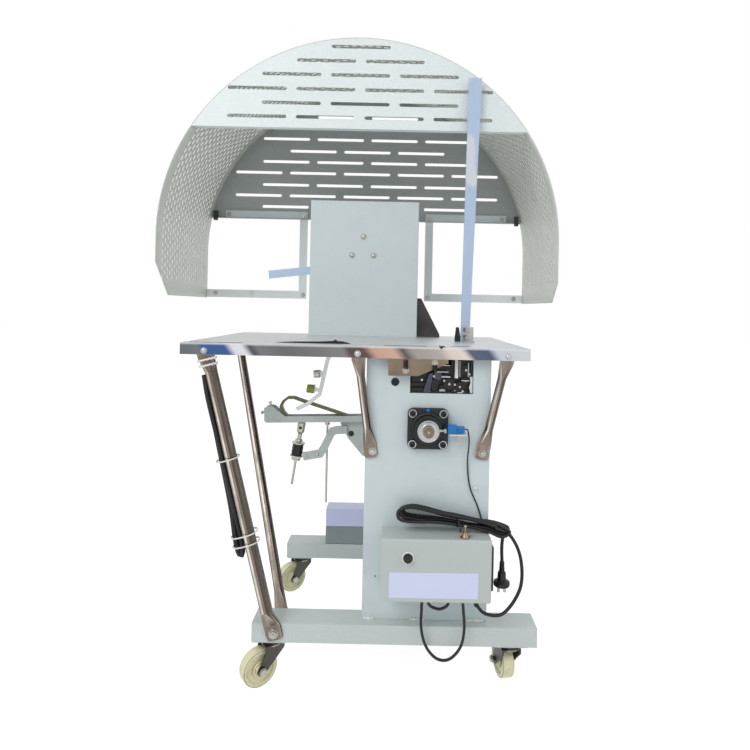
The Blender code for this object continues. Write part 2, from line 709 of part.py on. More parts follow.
BOLT_Z = TABLE_HEIGHT - STRUT_DROP
LOW_BOLT_Z = BEAM_TOP - BEAM_HEIGHT / 2
SHORT_BOLT_Z = TABLE_HEIGHT - 0.225
FRONT_FACE, BACK_FACE, RIGHT_FACE = (0, -1, 0), (0, 1, 0), (1, 0, 0)
left_foot_x = FRONT_BEAM_LEFT + 0.047
strut(
    "strut_left_front",
    (-TABLE_WIDTH / 2 + 0.0505, BAND_FRONT + TABLE_SHEET, BOLT_Z),
    BACK_FACE,
    (left_foot_x, FRONT_Y - BEAM_WIDTH / 2, LOW_BOLT_Z),
    FRONT_FACE,
    LEG_STRUT_RADIUS,
    LEG_STRUT_FLAT_WIDTH,
)
strut(
    "strut_left_rear",
    (-TABLE_WIDTH / 2 + TABLE_SHEET, BAND_BACK - 0.080, BOLT_Z - 0.004),
    RIGHT_FACE,
    (left_foot_x + 0.008, FRONT_Y + BEAM_WIDTH / 2, LOW_BOLT_Z),
    BACK_FACE,
    STRUT_RADIUS,
)
for side, band, wall, inward, face in (
    ("front", BAND_FRONT + TABLE_SHEET, CABINET_FRONT, BACK_FACE, FRONT_FACE),
    ("rear", BAND_BACK - TABLE_SHEET, CABINET_BACK, FRONT_FACE, BACK_FACE),
):
    inner_top, inner_foot = (CABINET_LEFT - 0.0185, band, BOLT_Z), (CABINET_LEFT + 0.0115, wall, SHORT_BOLT_Z)
    outer_top, outer_foot = (CABINET_RIGHT + 0.031, band, BOLT_Z), (CABINET_RIGHT - 0.0165, wall, SHORT_BOLT_Z)
    strut(f"strut_{side}_inner", inner_top, inward, inner_foot, face, STRUT_WAIST)
    strut(f"strut_{side}_outer", outer_top, inward, outer_foot, face, STRUT_WAIST)


def make_guard_plate():
    left = CABINET_LEFT + GUARD_PLATE_LEFT
    right, top, low = left + GUARD_PLATE_WIDTH, TABLE_UNDER - SEAT, TABLE_HEIGHT - GUARD_PLATE_DROP
    outline = [(left, low), (left + GUARD_PLATE_WIDTH / 2, low), (right, low + GUARD_PLATE_RISE), (right, top), (left, top)]
    front = BAND_FRONT + TABLE_SHEET + SEAT
    plate("film_guard_plate", [outline], "XZ", front, front + GUARD_PLATE_SHEET, brown_steel)


make_guard_plate()


def make_column():
    sheet = COLUMN_SHEET
    edge = rounded(COLUMN_LEFT, COLUMN_FRONT, COLUMN_RIGHT, COLUMN_BACK, COLUMN_CORNER, 3)
    left, right, front, back = COLUMN_LEFT + sheet, COLUMN_RIGHT - sheet, COLUMN_FRONT + sheet, COLUMN_BACK - sheet
    hollow = [(left, front), (right, front), (right, back), (left, back)]
    plate("column", [edge, hollow], "XY", COLUMN_BOTTOM, COLUMN_TOP, column_paint)
    foot, right = COLUMN_BOTTOM, COLUMN_RIGHT + SEAT
    outline = [(right, foot), (right + GUSSET_WIDTH, foot), (right + GUSSET_WIDTH, foot + 0.008)]
    outline += [(right + 0.012, foot + GUSSET_HEIGHT), (right, foot + GUSSET_HEIGHT)]
    front = COLUMN_FRONT + 0.030
    plate("column_gusset", [outline], "XZ", front, front + GUSSET_THICKNESS, dark_steel)
    end, z = COLUMN_LEFT - SEAT, TABLE_HEIGHT + SIDE_ARM_RISE
    path = [(end - SIDE_ARM_LENGTH, z), (end, z + 0.014)]
    outline = ribbon(path, SIDE_ARM_HEIGHT)
    outline = [(min(u, end), v) for u, v in outline]
    front = COLUMN_FRONT + 0.010
    plate("side_arm", [outline], "XZ", front, front + SIDE_ARM_THICKNESS, film_blue)


make_column()


def arc(radius, start, stop, steps):
    """Points about the guard's centre, angles in degrees from +X."""
    turns = [math.radians(start + (stop - start) * step / steps) for step in range(steps + 1)]
    return [(HOOD_CENTRE + radius * math.cos(turn), HOOD_Z + radius * math.sin(turn)) for turn in turns]


def segment(radius, chord_z):
    """Circular segment of the guard above a level line."""
    low = math.degrees(math.asin((chord_z - HOOD_Z) / radius))
    return arc(radius, low, 180 - low, 40)


def make_hood():
    inner_radius = HOOD_RADIUS - HOOD_SHEET
    outer, inner = arc(HOOD_RADIUS, 0, 180, HOOD_STEPS), arc(inner_radius, 180, 0, HOOD_STEPS)
    left, right = HOOD_CENTRE - HOOD_RADIUS, HOOD_CENTRE + HOOD_RADIUS
    outline = [(right, HOOD_BOTTOM), *outer, (left, HOOD_BOTTOM), (left + HOOD_SHEET, HOOD_BOTTOM), *inner]
    outline.append((right - HOOD_SHEET, HOOD_BOTTOM))
    arch = plate("hood_arch", [outline], "XZ", HOOD_Y0, HOOD_Y1, hood_paint)
    for name, x, size in (("left", left, HOOD_LEFT_CHAMFER), ("right", right, HOOD_RIGHT_CHAMFER)):
        corner = [(HOOD_Y0 - 0.01, HOOD_BOTTOM - 0.01), (HOOD_Y0 + size, HOOD_BOTTOM - 0.01)]
        corner += [(HOOD_Y0 + size, HOOD_BOTTOM), (HOOD_Y0, HOOD_BOTTOM + size), (HOOD_Y0 - 0.01, HOOD_BOTTOM + size)]
        cutter = plate(f"chamfer_{name}", [corner], "YZ", x - 0.02, x + 0.02, None, cutters)
        combine(arch, [cutter], "DIFFERENCE")
    disc = inner_radius - SEAT - 0.0008
    front = segment(disc, HOOD_TOP - HOOD_FRONT_DROP)
    plate("hood_front_plate", [front], "XZ", HOOD_Y0, HOOD_Y0 + HOOD_PLATE, hood_paint)
    plate("hood_back_plate", [segment(disc, BACK_PLATE_BOTTOM)], "XZ", BACK_PLATE_Y, HOOD_Y1, hood_paint)
    y1 = BACK_PLATE_Y - SEAT
    foot = HOOD_BOTTOM + 0.002
    top = BACK_PLATE_BOTTOM + FRAME_OVERLAP
    for name, near, wall in (
        ("left", COLUMN_LEFT - LEFT_FRAME_GAP, left + HOOD_SHEET + SEAT),
        ("right", COLUMN_RIGHT + RIGHT_FRAME_GAP, right - HOOD_SHEET - SEAT),
    ):
        bar = math.copysign(FRAME_BAR, near - HOOD_CENTRE)
        outline = [(near, top), (near, foot), (wall, foot), (wall, foot + FRAME_BAR)]
        outline += [(near + bar, foot + FRAME_BAR), (near + bar, top)]
        plate(f"hood_frame_{name}", [outline], "XZ", y1 - FRAME_THICKNESS, y1, column_paint)


make_hood()


def make_arm_post():
    y = BAND_FRONT + POST_SETBACK
    foot, top = TABLE_HEIGHT + SEAT, TABLE_HEIGHT + SEAT + POST_HEIGHT
    half, top_half, lean = POST_FOOT_WIDTH / 2, POST_TOP_WIDTH / 2, POST_X + POST_LEAN
    outline = [(POST_X - half, foot), (POST_X + half, foot), (lean + top_half, top), (lean - top_half, top)]
    plate("arm_post", [outline], "XZ", y, y + POST_THICKNESS, film_blue)
    front = y - SEAT
    sheet, depth = POST_BRACKET_SHEET, POST_BRACKET_DEPTH
    outline = [(front - depth, foot), (front, foot), (front, foot + POST_BRACKET_HEIGHT)]
    outline += [(front - sheet, foot + POST_BRACKET_HEIGHT), (front - sheet, foot + sheet), (front - depth, foot + sheet)]
    low = POST_X + POST_BRACKET_SHIFT - POST_BRACKET_WIDTH / 2
    plate("arm_bracket", [outline], "YZ", low, low + POST_BRACKET_WIDTH, bright_steel)
    right = POST_X - half - SEAT
    path = [(right - TRIP_WIDTH, foot), (right, foot), (right, foot + 0.012), (right - 0.004, foot + TRIP_HEIGHT)]
    path += [(right - 0.004 - TRIP_WIDTH / 2, foot + TRIP_HEIGHT), (right - TRIP_WIDTH, foot + 0.010)]
    plate("trip_lever", [path], "XZ", y, y + TRIP_THICKNESS, black_plastic)


make_arm_post()


def make_control_box():
    low, high = (BOX_X0, BOX_FRONT, BOX_BOTTOM), (BOX_X1, BOX_BACK, BOX_TOP)
    box("control_box", low, high, cabinet_paint, None, BOX_EDGE)
    x, z = BOX_X0 + BUTTON_LEFT, BOX_TOP - BUTTON_DROP
    profile = [(0, 0), (BUTTON_RADIUS * 0.72, 0), (BUTTON_RADIUS * 0.8, -0.001)]
    profile += [(BUTTON_RADIUS * 0.8, -BUTTON_LENGTH * 0.5), (BUTTON_RADIUS * 0.94, -BUTTON_LENGTH * 0.55)]
    profile += [(BUTTON_RADIUS, -BUTTON_LENGTH * 0.7), (BUTTON_RADIUS, -BUTTON_LENGTH), (0, -BUTTON_LENGTH)]
    button = turned("start_button", profile, (x, BOX_FRONT - SEAT - BUTTON_LENGTH, z), "Y", black_plastic, 24)
    button.rotation_euler = (math.pi / 2, 0, 0)
    place = (BOX_X0 + SCREW_LEFT, BOX_FRONT + SCREW_INSET, BOX_TOP + SEAT)
    profile = [(0, SCREW_HEIGHT), (0.0022, SCREW_HEIGHT), (0.0034, SCREW_HEIGHT - 0.0015), (0.0034, 0.0120), (0.0050, 0.0085)]
    profile += [(0.0100, 0.0012), (0.0100, 0), (0, 0)]
    turned("lid_screw", profile, place, "Z", brass, 20)
    middle = (BOX_BOTTOM + BOX_TOP) / 2
    low = (BOX_X1 + SEAT, BOX_FRONT + 0.014, middle - SWITCH_HEIGHT / 2)
    high = (BOX_X1 + SEAT + SWITCH_THICKNESS, BOX_FRONT + 0.014 + SWITCH_WIDTH, middle + SWITCH_HEIGHT / 2)
    box("side_switch", low, high, black_plastic, None, 0.0015)


make_control_box()


def make_sensor():
    left = BEARING_X + SENSOR_LEFT
    floor = BEARING_Z - SENSOR_DROP - SENSOR_HEIGHT
    back = CABINET_FRONT - SEAT - FLANGE_THICKNESS - SENSOR_STANDOFF
    low = (left, back - SENSOR_DEPTH, floor)
    box("proximity_sensor", low, (left + SENSOR_WIDTH, back, floor + SENSOR_HEIGHT), sensor_blue, None, 0.002)
    wall, top = CABINET_FRONT - SEAT, floor - SEAT
    sheet = SENSOR_BRACKET_SHEET
    outline = [(wall, top - SENSOR_BRACKET_HEIGHT), (wall, top), (back - SENSOR_DEPTH, top)]
    outline += [(back - SENSOR_DEPTH, top - sheet), (wall - sheet, top - sheet)]
    outline.append((wall - sheet, top - SENSOR_BRACKET_HEIGHT))
    start = BEARING_X + FLANGE_SIDE / 2 + SEAT
    plate("sensor_bracket", [outline], "YZ", start, start + SENSOR_BRACKET_WIDTH, cabinet_paint)


make_sensor()


LINK_FRONT = LINK_PLANE - LEVER_WIDTH / 2
LINK_BACK = LINK_PLANE + LEVER_WIDTH / 2
lever_turn = math.radians(LEVER_TILT)
lever_along = Vector((-math.cos(lever_turn), math.sin(lever_turn)))
lever_up = Vector((math.sin(lever_turn), math.cos(lever_turn)))
lever_foot = Vector((CABINET_LEFT - 0.012, TABLE_HEIGHT - LEVER_DROP - LEVER_HEIGHT / 2))


def on_lever(reach, rise):
    """Point in the linkage's plane, by its reach from the lever's right end and its rise above the underside."""
    point = lever_foot + lever_along * reach + lever_up * rise
    return point.x, point.y


def make_lever():
    corners = [(0, 0), (LEVER_LENGTH - 0.004, 0), (LEVER_LENGTH, 0.004), (LEVER_LENGTH, CHEEK_HEIGHT - 0.004)]
    corners += [(LEVER_LENGTH - 0.010, CHEEK_HEIGHT), (LEVER_LENGTH - CHEEK_LENGTH * 0.6, CHEEK_HEIGHT - 0.002)]
    corners += [(LEVER_LENGTH - CHEEK_LENGTH * 1.4, LEVER_HEIGHT), (0, LEVER_HEIGHT)]
    outline = [on_lever(*corner) for corner in corners]
    lever = plate("tension_lever", [outline], "XZ", LINK_FRONT, LINK_BACK, column_paint)
    reaches = (-0.02, LEVER_LENGTH + 0.02)
    channel = [on_lever(reach, LEVER_WALL) for reach in reaches]
    channel += [on_lever(reach, CHEEK_HEIGHT + 0.01) for reach in reversed(reaches)]
    groove = plate("lever_groove", [channel], "XZ", LINK_FRONT + LEVER_WALL, LINK_BACK - LEVER_WALL, None, cutters)
    combine(lever, [groove], "DIFFERENCE")
    floor = LEVER_WALL + SEAT + STRAP_THICKNESS / 2
    path = [(0.006, floor), (0.016, floor), (0.1365, 0.0475), (0.158, 0.0555), (0.1715, 0.0555), (0.183, 0.047)]
    path += [(0.1885, 0.036), (0.183, 0.022), (0.168, floor), (0.158, floor)]
    outline = ribbon([on_lever(*point) for point in path], STRAP_THICKNESS)
    half = GUIDE_WIDTH / 2
    plate("guide_strap", [outline], "XZ", LINK_PLANE - half, LINK_PLANE + half, olive_paint)


def make_bracket():
    wall = CABINET_LEFT - SEAT
    top_left, top_right = on_lever(0.0507, -SEAT), on_lever(0.001, -SEAT)
    outline = [(wall, top_right[1] - 0.006), top_right, top_left, on_lever(0.0507, -0.006)]
    outline += [on_lever(0.033, -0.041), on_lever(0.001, -0.080), (wall, top_right[1] - 0.084)]
    hole = circle(*on_lever(0.0265, -0.029), BRACKET_HOLE / 2, 16)
    half = BRACKET_THICKNESS / 2
    plate("lever_bracket", [outline, hole], "XZ", LINK_PLANE - half, LINK_PLANE + half, column_paint)


def make_adjuster():
    place = on_lever(0.1405, -SEAT)
    profile = [(0, 0), (0.004, -0.0004), (0.0075, -0.002), (0.0085, -0.0035), (0.0085, -0.028), (0.005, -0.030), (0.005, -0.050)]
    profile += [(ADJUSTER_RADIUS + 0.002, -0.050), (ADJUSTER_RADIUS + 0.002, -0.0525), (ADJUSTER_RADIUS, -0.0535)]
    profile += [(ADJUSTER_RADIUS, -0.079), (ADJUSTER_RADIUS + 0.002, -0.080), (ADJUSTER_RADIUS + 0.002, -0.084)]
    profile += [(0.0085, -0.085), (0.0085, -0.093), (ROD_RADIUS, -0.093), (ROD_RADIUS, -0.147), (0, -0.148)]
    item = turned("spring_adjuster", profile, (place[0], LINK_PLANE, place[1]), "Z", dark_steel, 20)
    item.rotation_euler = (0, math.radians(ADJUSTER_TILT), 0)


def make_links():
    back = LINK_FRONT - SEAT
    under = (TABLE_UNDER - SEAT - lever_foot.y) + 0.0001
    path = [on_lever(0.0625, under), on_lever(0.0785, 0.1417), on_lever(0.0967, 0.0652)]
    path += [on_lever(0.1245, 0.0432), on_lever(0.1496, 0.032)]
    hook = plate("hook_lever", [ribbon(path, HOOK_THICKNESS)], "XZ", back - 0.006, back, bright_steel)
    x, z = on_lever(0.0985, 0.1120)
    knob = cylinder("hook_knob", (x, back - 0.005, z), 0.009, 0.0096, "Y", None, cutters, 16)
    arm = plate("knob_arm", [ribbon([(x, z), on_lever(0.083, 0.109)], 0.008)], "XZ", back - 0.0055, back - 0.0005, None, cutters)
    x, z = on_lever(0.1145, 0.0785)
    link = plate("block_arm", [ribbon([(x, z), on_lever(0.095, 0.0737)], 0.008)], "XZ", back - 0.0055, back - 0.0005, None, cutters)
    block = box("hook_block", (x - 0.009, back - 0.0105, z - 0.009), (x + 0.009, back - 0.0004, z + 0.009), None, cutters)
    combine(hook, [knob, arm, link, block], "UNION")
    path = [on_lever(0.1375, -0.0799), on_lever(0.0975, -0.0735), on_lever(0.0870, -0.0560), on_lever(0.0700, -0.0225)]
    path += [on_lever(0.0600, -0.0195), on_lever(0.0358, -0.0190)]
    face = LINK_PLANE - BRACKET_THICKNESS / 2 - SEAT
    plate("crank_arm", [ribbon(path, CRANK_THICKNESS)], "XZ", face - 0.007, face, column_paint)
    x, z = on_lever(0.0815, -SEAT)
    profile = [(0, 0), (ROD_RADIUS + 0.003, -0.0006), (ROD_RADIUS + 0.003, -0.008), (ROD_RADIUS, -0.008)]
    profile += [(ROD_RADIUS, -0.188), (0, -0.188)]
    turned("pull_rod", profile, (x, LINK_PLANE, z), "Z", bright_steel, 16)


make_lever()
make_bracket()
make_adjuster()
make_links()


def make_rod_box():
    right = CABINET_LEFT - SEAT
    left = right - ROD_BOX_WIDTH
    front, back = REAR_Y - ROD_BOX_DEPTH / 2, REAR_Y + ROD_BOX_DEPTH / 2
    floor = BEAM_TOP + SEAT
    box("rod_box", (left, front, floor), (right, back, floor + ROD_BOX_HEIGHT), column_paint, None, 0.0015)
    floor += ROD_BOX_HEIGHT + SEAT
    box("rod_box_lid", (left, front, floor), (right, back, floor + ROD_LID_HEIGHT), lid_lavender, None, 0.0015)


make_rod_box()


def make_spare_belt():
    top = Vector((-TABLE_WIDTH / 2 + 0.0505, BOLT_Z))
    foot = Vector((left_foot_x, LOW_BOLT_Z))
    along = (foot - top).normalized()
    aside = Vector((along.y, -along.x))
    if aside.x > 0:
        aside = -aside
    offset = LEG_STRUT_RADIUS + BELT_RADIUS + SEAT
    top_y = BAND_FRONT + TABLE_SHEET + SEAT + LEG_STRUT_RADIUS
    lean = (FRONT_Y - BEAM_WIDTH / 2 - SEAT - LEG_STRUT_RADIUS - top_y) / (foot - top).length
    stations = ((0.066, 0.0004), (0.16, 0), (0.26, 0.0006), (0.36, 0.0003), (0.40, 0.0035), (0.425, 0.009))
    points = [top + along * reach + aside * (offset + gap) for reach, gap in stations]
    route = [(point.x, top_y + lean * reach, point.y) for point, (reach, _) in zip(points, stations)]
    tube("spare_belt", flow(route, 22), BELT_RADIUS, black_rubber)


make_spare_belt()


def make_cords():
    tilt = math.radians(HANK_TILT)
    along, up = Vector((math.cos(tilt), -math.sin(tilt))), Vector((math.sin(tilt), math.cos(tilt)))
    edge = Vector((BOX_X1, BOX_TOP + SEAT))
    half = HANK_HEIGHT / 2
    right = edge + along * (0.037 - half) + up * half
    left = right - along * (HANK_LENGTH - HANK_HEIGHT)
    outline = []
    for centre, start in ((right, -90), (left, 90)):
        for step in range(9):
            turn = math.radians(start + 180 * step / 8)
            point = centre + along * (half * math.cos(turn)) + up * (half * math.sin(turn))
            outline.append((point.x, point.y))
    back = CABINET_FRONT - 0.0045
    y = back - HANK_DEPTH / 2
    plate("mains_cord_hank", [outline], "XZ", back - HANK_DEPTH, back, black_rubber)
    tip = right + along * (half + 0.0005)
    near = right + along * (half + 0.012)
    exit_x, exit_y, floor = BOX_X1 - 0.026, BOX_BACK - 0.034, BOX_BOTTOM - 3 * SEAT
    route = [(exit_x, exit_y, floor), (exit_x + 0.001, exit_y - 0.002, floor - 0.015)]
    route += [(exit_x + 0.020, exit_y - 0.008, floor - 0.031), (exit_x + 0.056, exit_y - 0.012, floor - 0.026)]
    route += [(exit_x + 0.0885, exit_y - 0.012, floor + 0.026), (exit_x + 0.0895, exit_y - 0.004, floor + 0.085)]
    route += [(near.x + 0.006, y - 0.002, near.y - 0.012), (near.x, y, near.y), (tip.x, y, tip.y)]
    tube("mains_cord", flow(route, 44), CORD_RADIUS, black_rubber)
    x = BOX_X1 + 0.0255
    start = edge.y - (x - BOX_X1) * math.tan(tilt) + 0.0002
    plug_top = BOX_TOP - 0.0595
    route = [(x, y, start), (x + 0.001, y - 0.001, start - 0.02), (x + 0.003, y - 0.002, plug_top + 0.015)]
    route.append((x + 0.003, y - 0.002, plug_top + SEAT))
    tube("mains_cord_tail", flow(route, 8), CORD_RADIUS, black_rubber)
    profile = [(0, 0), (0.0050, 0), (0.0058, -0.020), (0.0085, -0.022), (0.0090, -0.037), (0.0165, -0.041)]
    profile += [(0.0172, -0.044), (0.0165, -0.049), (0, -0.050)]
    plug = turned("mains_plug", profile, (x + 0.003, y - 0.002, plug_top), "Z", black_rubber, 20)
    pins = []
    for shift in (-0.0063, 0.0063):
        low = (x + 0.003 + shift - 0.0008, y - 0.005, plug_top - 0.064)
        high = (x + 0.003 + shift + 0.0008, y + 0.001, plug_top - 0.048)
        pins.append(box("plug_pin", low, high, None, cutters))
    combine(plug, pins, "UNION")
    lead_y = exit_y - 0.004
    start_x, end_x = BOX_X0 + 0.170, BOX_X0 + 0.087
    route = [(start_x, lead_y, floor), (start_x + 0.003, lead_y, floor - 0.030), (start_x + 0.005, lead_y - 0.002, floor - 0.064)]
    route += [(start_x - 0.001, lead_y - 0.003, floor - 0.098), (start_x - 0.018, lead_y - 0.004, floor - 0.121)]
    route += [(start_x - 0.037, lead_y - 0.005, floor - 0.128), (start_x - 0.057, lead_y - 0.004, floor - 0.121)]
    route += [(end_x + 0.008, lead_y - 0.003, floor - 0.098), (end_x - 0.001, lead_y - 0.002, floor - 0.064)]
    route += [(end_x - 0.001, lead_y, floor - 0.030), (end_x, lead_y, floor)]
    tube("motor_lead", flow(route, 44), LEAD_RADIUS, black_rubber)
    start_x, end_x = BOX_X0 + 0.099, BOX_X0 + 0.142
    route = [(start_x, lead_y, floor), (start_x + 0.003, lead_y, floor - 0.017), (start_x + 0.023, lead_y, floor - 0.025)]
    route += [(end_x - 0.003, lead_y, floor - 0.017), (end_x, lead_y, floor)]
    tube("short_lead", flow(route, 16), LEAD_RADIUS, black_rubber)
    x = BEARING_X + SENSOR_LEFT + SENSOR_WIDTH + SEAT
    sensor_y = CABINET_FRONT - SEAT - FLANGE_THICKNESS - SENSOR_STANDOFF - SENSOR_DEPTH / 2
    z = BEARING_Z - SENSOR_DROP - SENSOR_HEIGHT / 2
    wall_y = CABINET_FRONT - SENSOR_LEAD_RADIUS - 0.0007
    fall = z - BOX_TOP - 2 * SEAT
    route = [(x, sensor_y, z), (x + 0.007, sensor_y + 0.001, z - 0.002), (x + 0.0115, sensor_y + 0.010, z - 0.135 * fall)]
    route += [(x + 0.011, wall_y - 0.003, z - 0.353 * fall), (x + 0.017, wall_y, z - 0.585 * fall)]
    route += [(x + 0.033, wall_y, z - 0.764 * fall), (x + 0.042, wall_y, z - 0.885 * fall), (x + 0.043, wall_y, z - fall)]
    tube("sensor_lead", flow(route, 46), SENSOR_LEAD_RADIUS, black_rubber)


make_cords()
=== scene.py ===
import math
import random

import bmesh
import bpy
from mathutils import Matrix, Vector


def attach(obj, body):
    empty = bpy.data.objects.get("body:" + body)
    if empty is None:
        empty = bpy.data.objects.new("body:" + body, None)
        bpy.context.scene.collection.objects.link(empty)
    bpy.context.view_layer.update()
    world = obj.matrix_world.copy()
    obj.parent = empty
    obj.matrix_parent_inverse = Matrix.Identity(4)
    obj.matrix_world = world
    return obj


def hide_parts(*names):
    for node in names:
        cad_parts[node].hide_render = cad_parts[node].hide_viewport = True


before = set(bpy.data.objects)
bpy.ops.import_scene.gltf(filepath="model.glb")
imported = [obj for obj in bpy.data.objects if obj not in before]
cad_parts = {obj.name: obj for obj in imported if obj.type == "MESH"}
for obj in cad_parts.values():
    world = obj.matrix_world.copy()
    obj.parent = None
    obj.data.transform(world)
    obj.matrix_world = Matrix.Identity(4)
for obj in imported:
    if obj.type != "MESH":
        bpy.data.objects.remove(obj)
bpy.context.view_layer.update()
scene = bpy.context.scene
tableShift = Vector((0.018, -0.070, 0))  # from the table's middle line to the machine's own frame
rng = random.Random(7)


class Wire:
    # one socket; sums, differences and products of wires add their Math nodes
    def __init__(self, tree, socket):
        self.tree = tree
        self.socket = socket

    def math(self, operation, first, second):
        node = self.tree.nodes.new("ShaderNodeMath")
        node.operation = operation
        for plug, value in zip(node.inputs, (first, second)):
            if isinstance(value, Wire):
                self.tree.links.new(value.socket, plug)
            else:
                plug.default_value = value
        return Wire(self.tree, node.outputs[0])

    def __add__(self, other):
        return self.math("ADD", self, other)

    def __radd__(self, other):
        return self.math("ADD", other, self)

    def __sub__(self, other):
        return self.math("SUBTRACT", self, other)

    def __rsub__(self, other):
        return self.math("SUBTRACT", other, self)

    def __mul__(self, other):
        return self.math("MULTIPLY", self, other)

    def __rmul__(self, other):
        return self.math("MULTIPLY", other, self)

    def __pow__(self, other):
        return self.math("POWER", self, other)


def screenColour(red, green, blue):
    values = [part / 255 for part in (red, green, blue)]
    return (*[v / 12.92 if v <= 0.04045 else ((v + 0.055) / 1.055) ** 2.4 for v in values], 1)


class Finish:
    # a material with its Principled shader, and one way to add any other node
    def __init__(self, name, roughness, metallic=0.0, coat=0.0, specular=0.5):
        self.material = bpy.data.materials.new(name)
        self.material.use_nodes = True
        self.tree = self.material.node_tree
        self.shader = self.tree.nodes["Principled BSDF"]
        self.shader.inputs["Roughness"].default_value = roughness
        self.shader.inputs["Metallic"].default_value = metallic
        self.shader.inputs["Coat Weight"].default_value = coat
        self.shader.inputs["Specular IOR Level"].default_value = specular
        self.place = self.node("TexCoord", output="Object")

    def node(self, kind, settings=None, values=None, output=0):
        made = self.tree.nodes.new("ShaderNode" + kind)
        for key, value in (settings or {}).items():
            if key == "stops":
                ramp = made.color_ramp
                while len(ramp.elements) < len(value):
                    ramp.elements.new(1.0)
                for element, (spot, level) in zip(ramp.elements, value):
                    element.position = spot
                    element.color = level if isinstance(level, tuple) else (level, level, level, 1)
            else:
                setattr(made, key, value)
        for key, value in (values or {}).items():
            if isinstance(value, Wire):
                self.tree.links.new(value.socket, made.inputs[key])
            else:
                made.inputs[key].default_value = value
        return Wire(self.tree, made.outputs[output])

    def feed(self, name, wire):
        self.tree.links.new(wire.socket, self.shader.inputs[name])

    def noise(self, scale, detail=3.0, rough=0.5, stretch=(1, 1, 1)):
        spot = self.place
        if stretch != (1, 1, 1):
            spot = self.node("Mapping", None, {"Vector": self.place, "Scale": stretch})
        return self.node("TexNoise", None, {"Vector": spot, "Scale": scale, "Detail": detail, "Roughness": rough}, "Fac")

    def ramp(self, wire, *stops):
        return self.node("ValToRGB", {"stops": stops}, {"Fac": wire}, "Color")

    def blend(self, amount, first, second, way="MIX"):
        values = {"Factor": amount, 6: first, 7: second}
        return self.node("Mix", {"data_type": "RGBA", "blend_type": way}, values, 2)

    def bump(self, height, strength, distance):
        self.feed("Normal", self.node("Bump", None, {"Height": height, "Strength": strength, "Distance": distance}))


def paintFinish(name, colour, worn, roughness=0.42, grain=700, grainDepth=0.25, dirt=0.25, speckle=0.0):
    # powder coat: fine orange peel, broad cloudy shade, and a little grime
    finish = Finish(name, roughness)
    cloud = finish.noise(4.0, 4, 0.6)
    smears = finish.ramp(finish.noise(11.0, 6, 0.65), (0.50, 0.0), (0.78, 1.0))
    shade = finish.blend(finish.ramp(cloud, (0.35, 0.0), (0.7, 1.0)) * 0.35, screenColour(*colour), screenColour(*[c - 9 for c in colour]))
    shade = finish.blend(smears * dirt, shade, screenColour(*worn))
    peel = finish.noise(grain, 2, 0.5)
    if speckle:
        flecks = finish.ramp(finish.noise(grain * 0.8, 2, 0.6), (0.42, 1.0), (0.50, 0.0))
        shade = finish.blend(flecks * speckle, shade, screenColour(*[c - 48 for c in colour]))
    finish.feed("Base Color", shade)
    finish.feed("Roughness", roughness - 0.06 + finish.noise(30, 3) * 0.14)
    finish.bump(peel, grainDepth, 0.0006)
    return finish.material


def steelFinish(name, colour, second, roughness, brushed=(1, 1, 1), scale=40, rust=0.0, metallic=1.0, spread=0.16):
    # drawn or brushed steel: fine lines one way, dull clouds, and brown oxide where wanted
    finish = Finish(name, roughness, metallic)
    lines = finish.noise(scale, 5, 0.6, brushed)
    cloud = finish.ramp(finish.noise(7, 5, 0.6), (0.38, 0.0), (0.66, 1.0))
    shade = finish.blend(cloud, screenColour(*colour), screenColour(*second))
    shade = finish.blend(lines * 0.35, shade, screenColour(*[c * 0.72 for c in colour]))
    if rust:
        spots = finish.ramp(finish.noise(26, 7, 0.7), (0.55, 0.0), (0.68, 1.0))
        shade = finish.blend(spots * rust, shade, screenColour(112, 78, 52))
    finish.feed("Base Color", shade)
    finish.feed("Roughness", roughness - spread / 2 + lines * spread)
    finish.bump(lines, 0.12, 0.0003)
    return finish.material


def mouldedFinish(name, colour, second, roughness, grain=420, depth=0.2, coat=0.0):
    # moulded plastic or rubber with a fine skin and a dusty bloom
    finish = Finish(name, roughness, coat=coat)
    dust = finish.ramp(finish.noise(38, 6, 0.7), (0.48, 0.0), (0.75, 1.0))
    finish.feed("Base Color", finish.blend(dust * 0.6, screenColour(*colour), screenColour(*second)))
    finish.feed("Roughness", roughness - 0.05 + dust * 0.18)
    finish.bump(finish.noise(grain, 2), depth, 0.0004)
    return finish.material


def tubeFinish(name):
    # flattened polished tube: painted reflection, a dark room painted down its flanks by which way the surface faces,
    # with one painted highlight line between
    finish = Finish(name, 0.24, 1.0)
    facing = finish.node("SeparateXYZ", None, {"Vector": finish.node("TexCoord", output="Normal")}, 0)
    streaks = finish.noise(16, 5, 0.6, (1, 1, 0.12))
    across = facing * 0.5 + 0.5 + (streaks - 0.5) * 0.22
    reflectionBands = [(0.0, (70, 62, 54)), (0.16, (120, 112, 102)), (0.30, (232, 226, 216)), (0.38, (150, 141, 131)), (0.50, (128, 116, 107)), (0.60, (176, 168, 159)), (0.68, (88, 80, 72)), (0.82, (52, 47, 43)), (0.93, (164, 154, 142)), (1.0, (60, 52, 46))]
    paintedTubeReflection = finish.ramp(across, *[(spot, screenColour(*shade)) for spot, shade in reflectionBands])
    stains = finish.ramp(finish.noise(9, 6, 0.68), (0.46, 0.0), (0.66, 1.0))
    finish.feed("Base Color", finish.blend(stains * 0.55, paintedTubeReflection, screenColour(92, 80, 70)))
    finish.feed("Roughness", 0.20 + stains * 0.18)
    finish.bump(finish.noise(60, 4, 0.6, (1, 1, 0.2)), 0.1, 0.0003)
    return finish.material


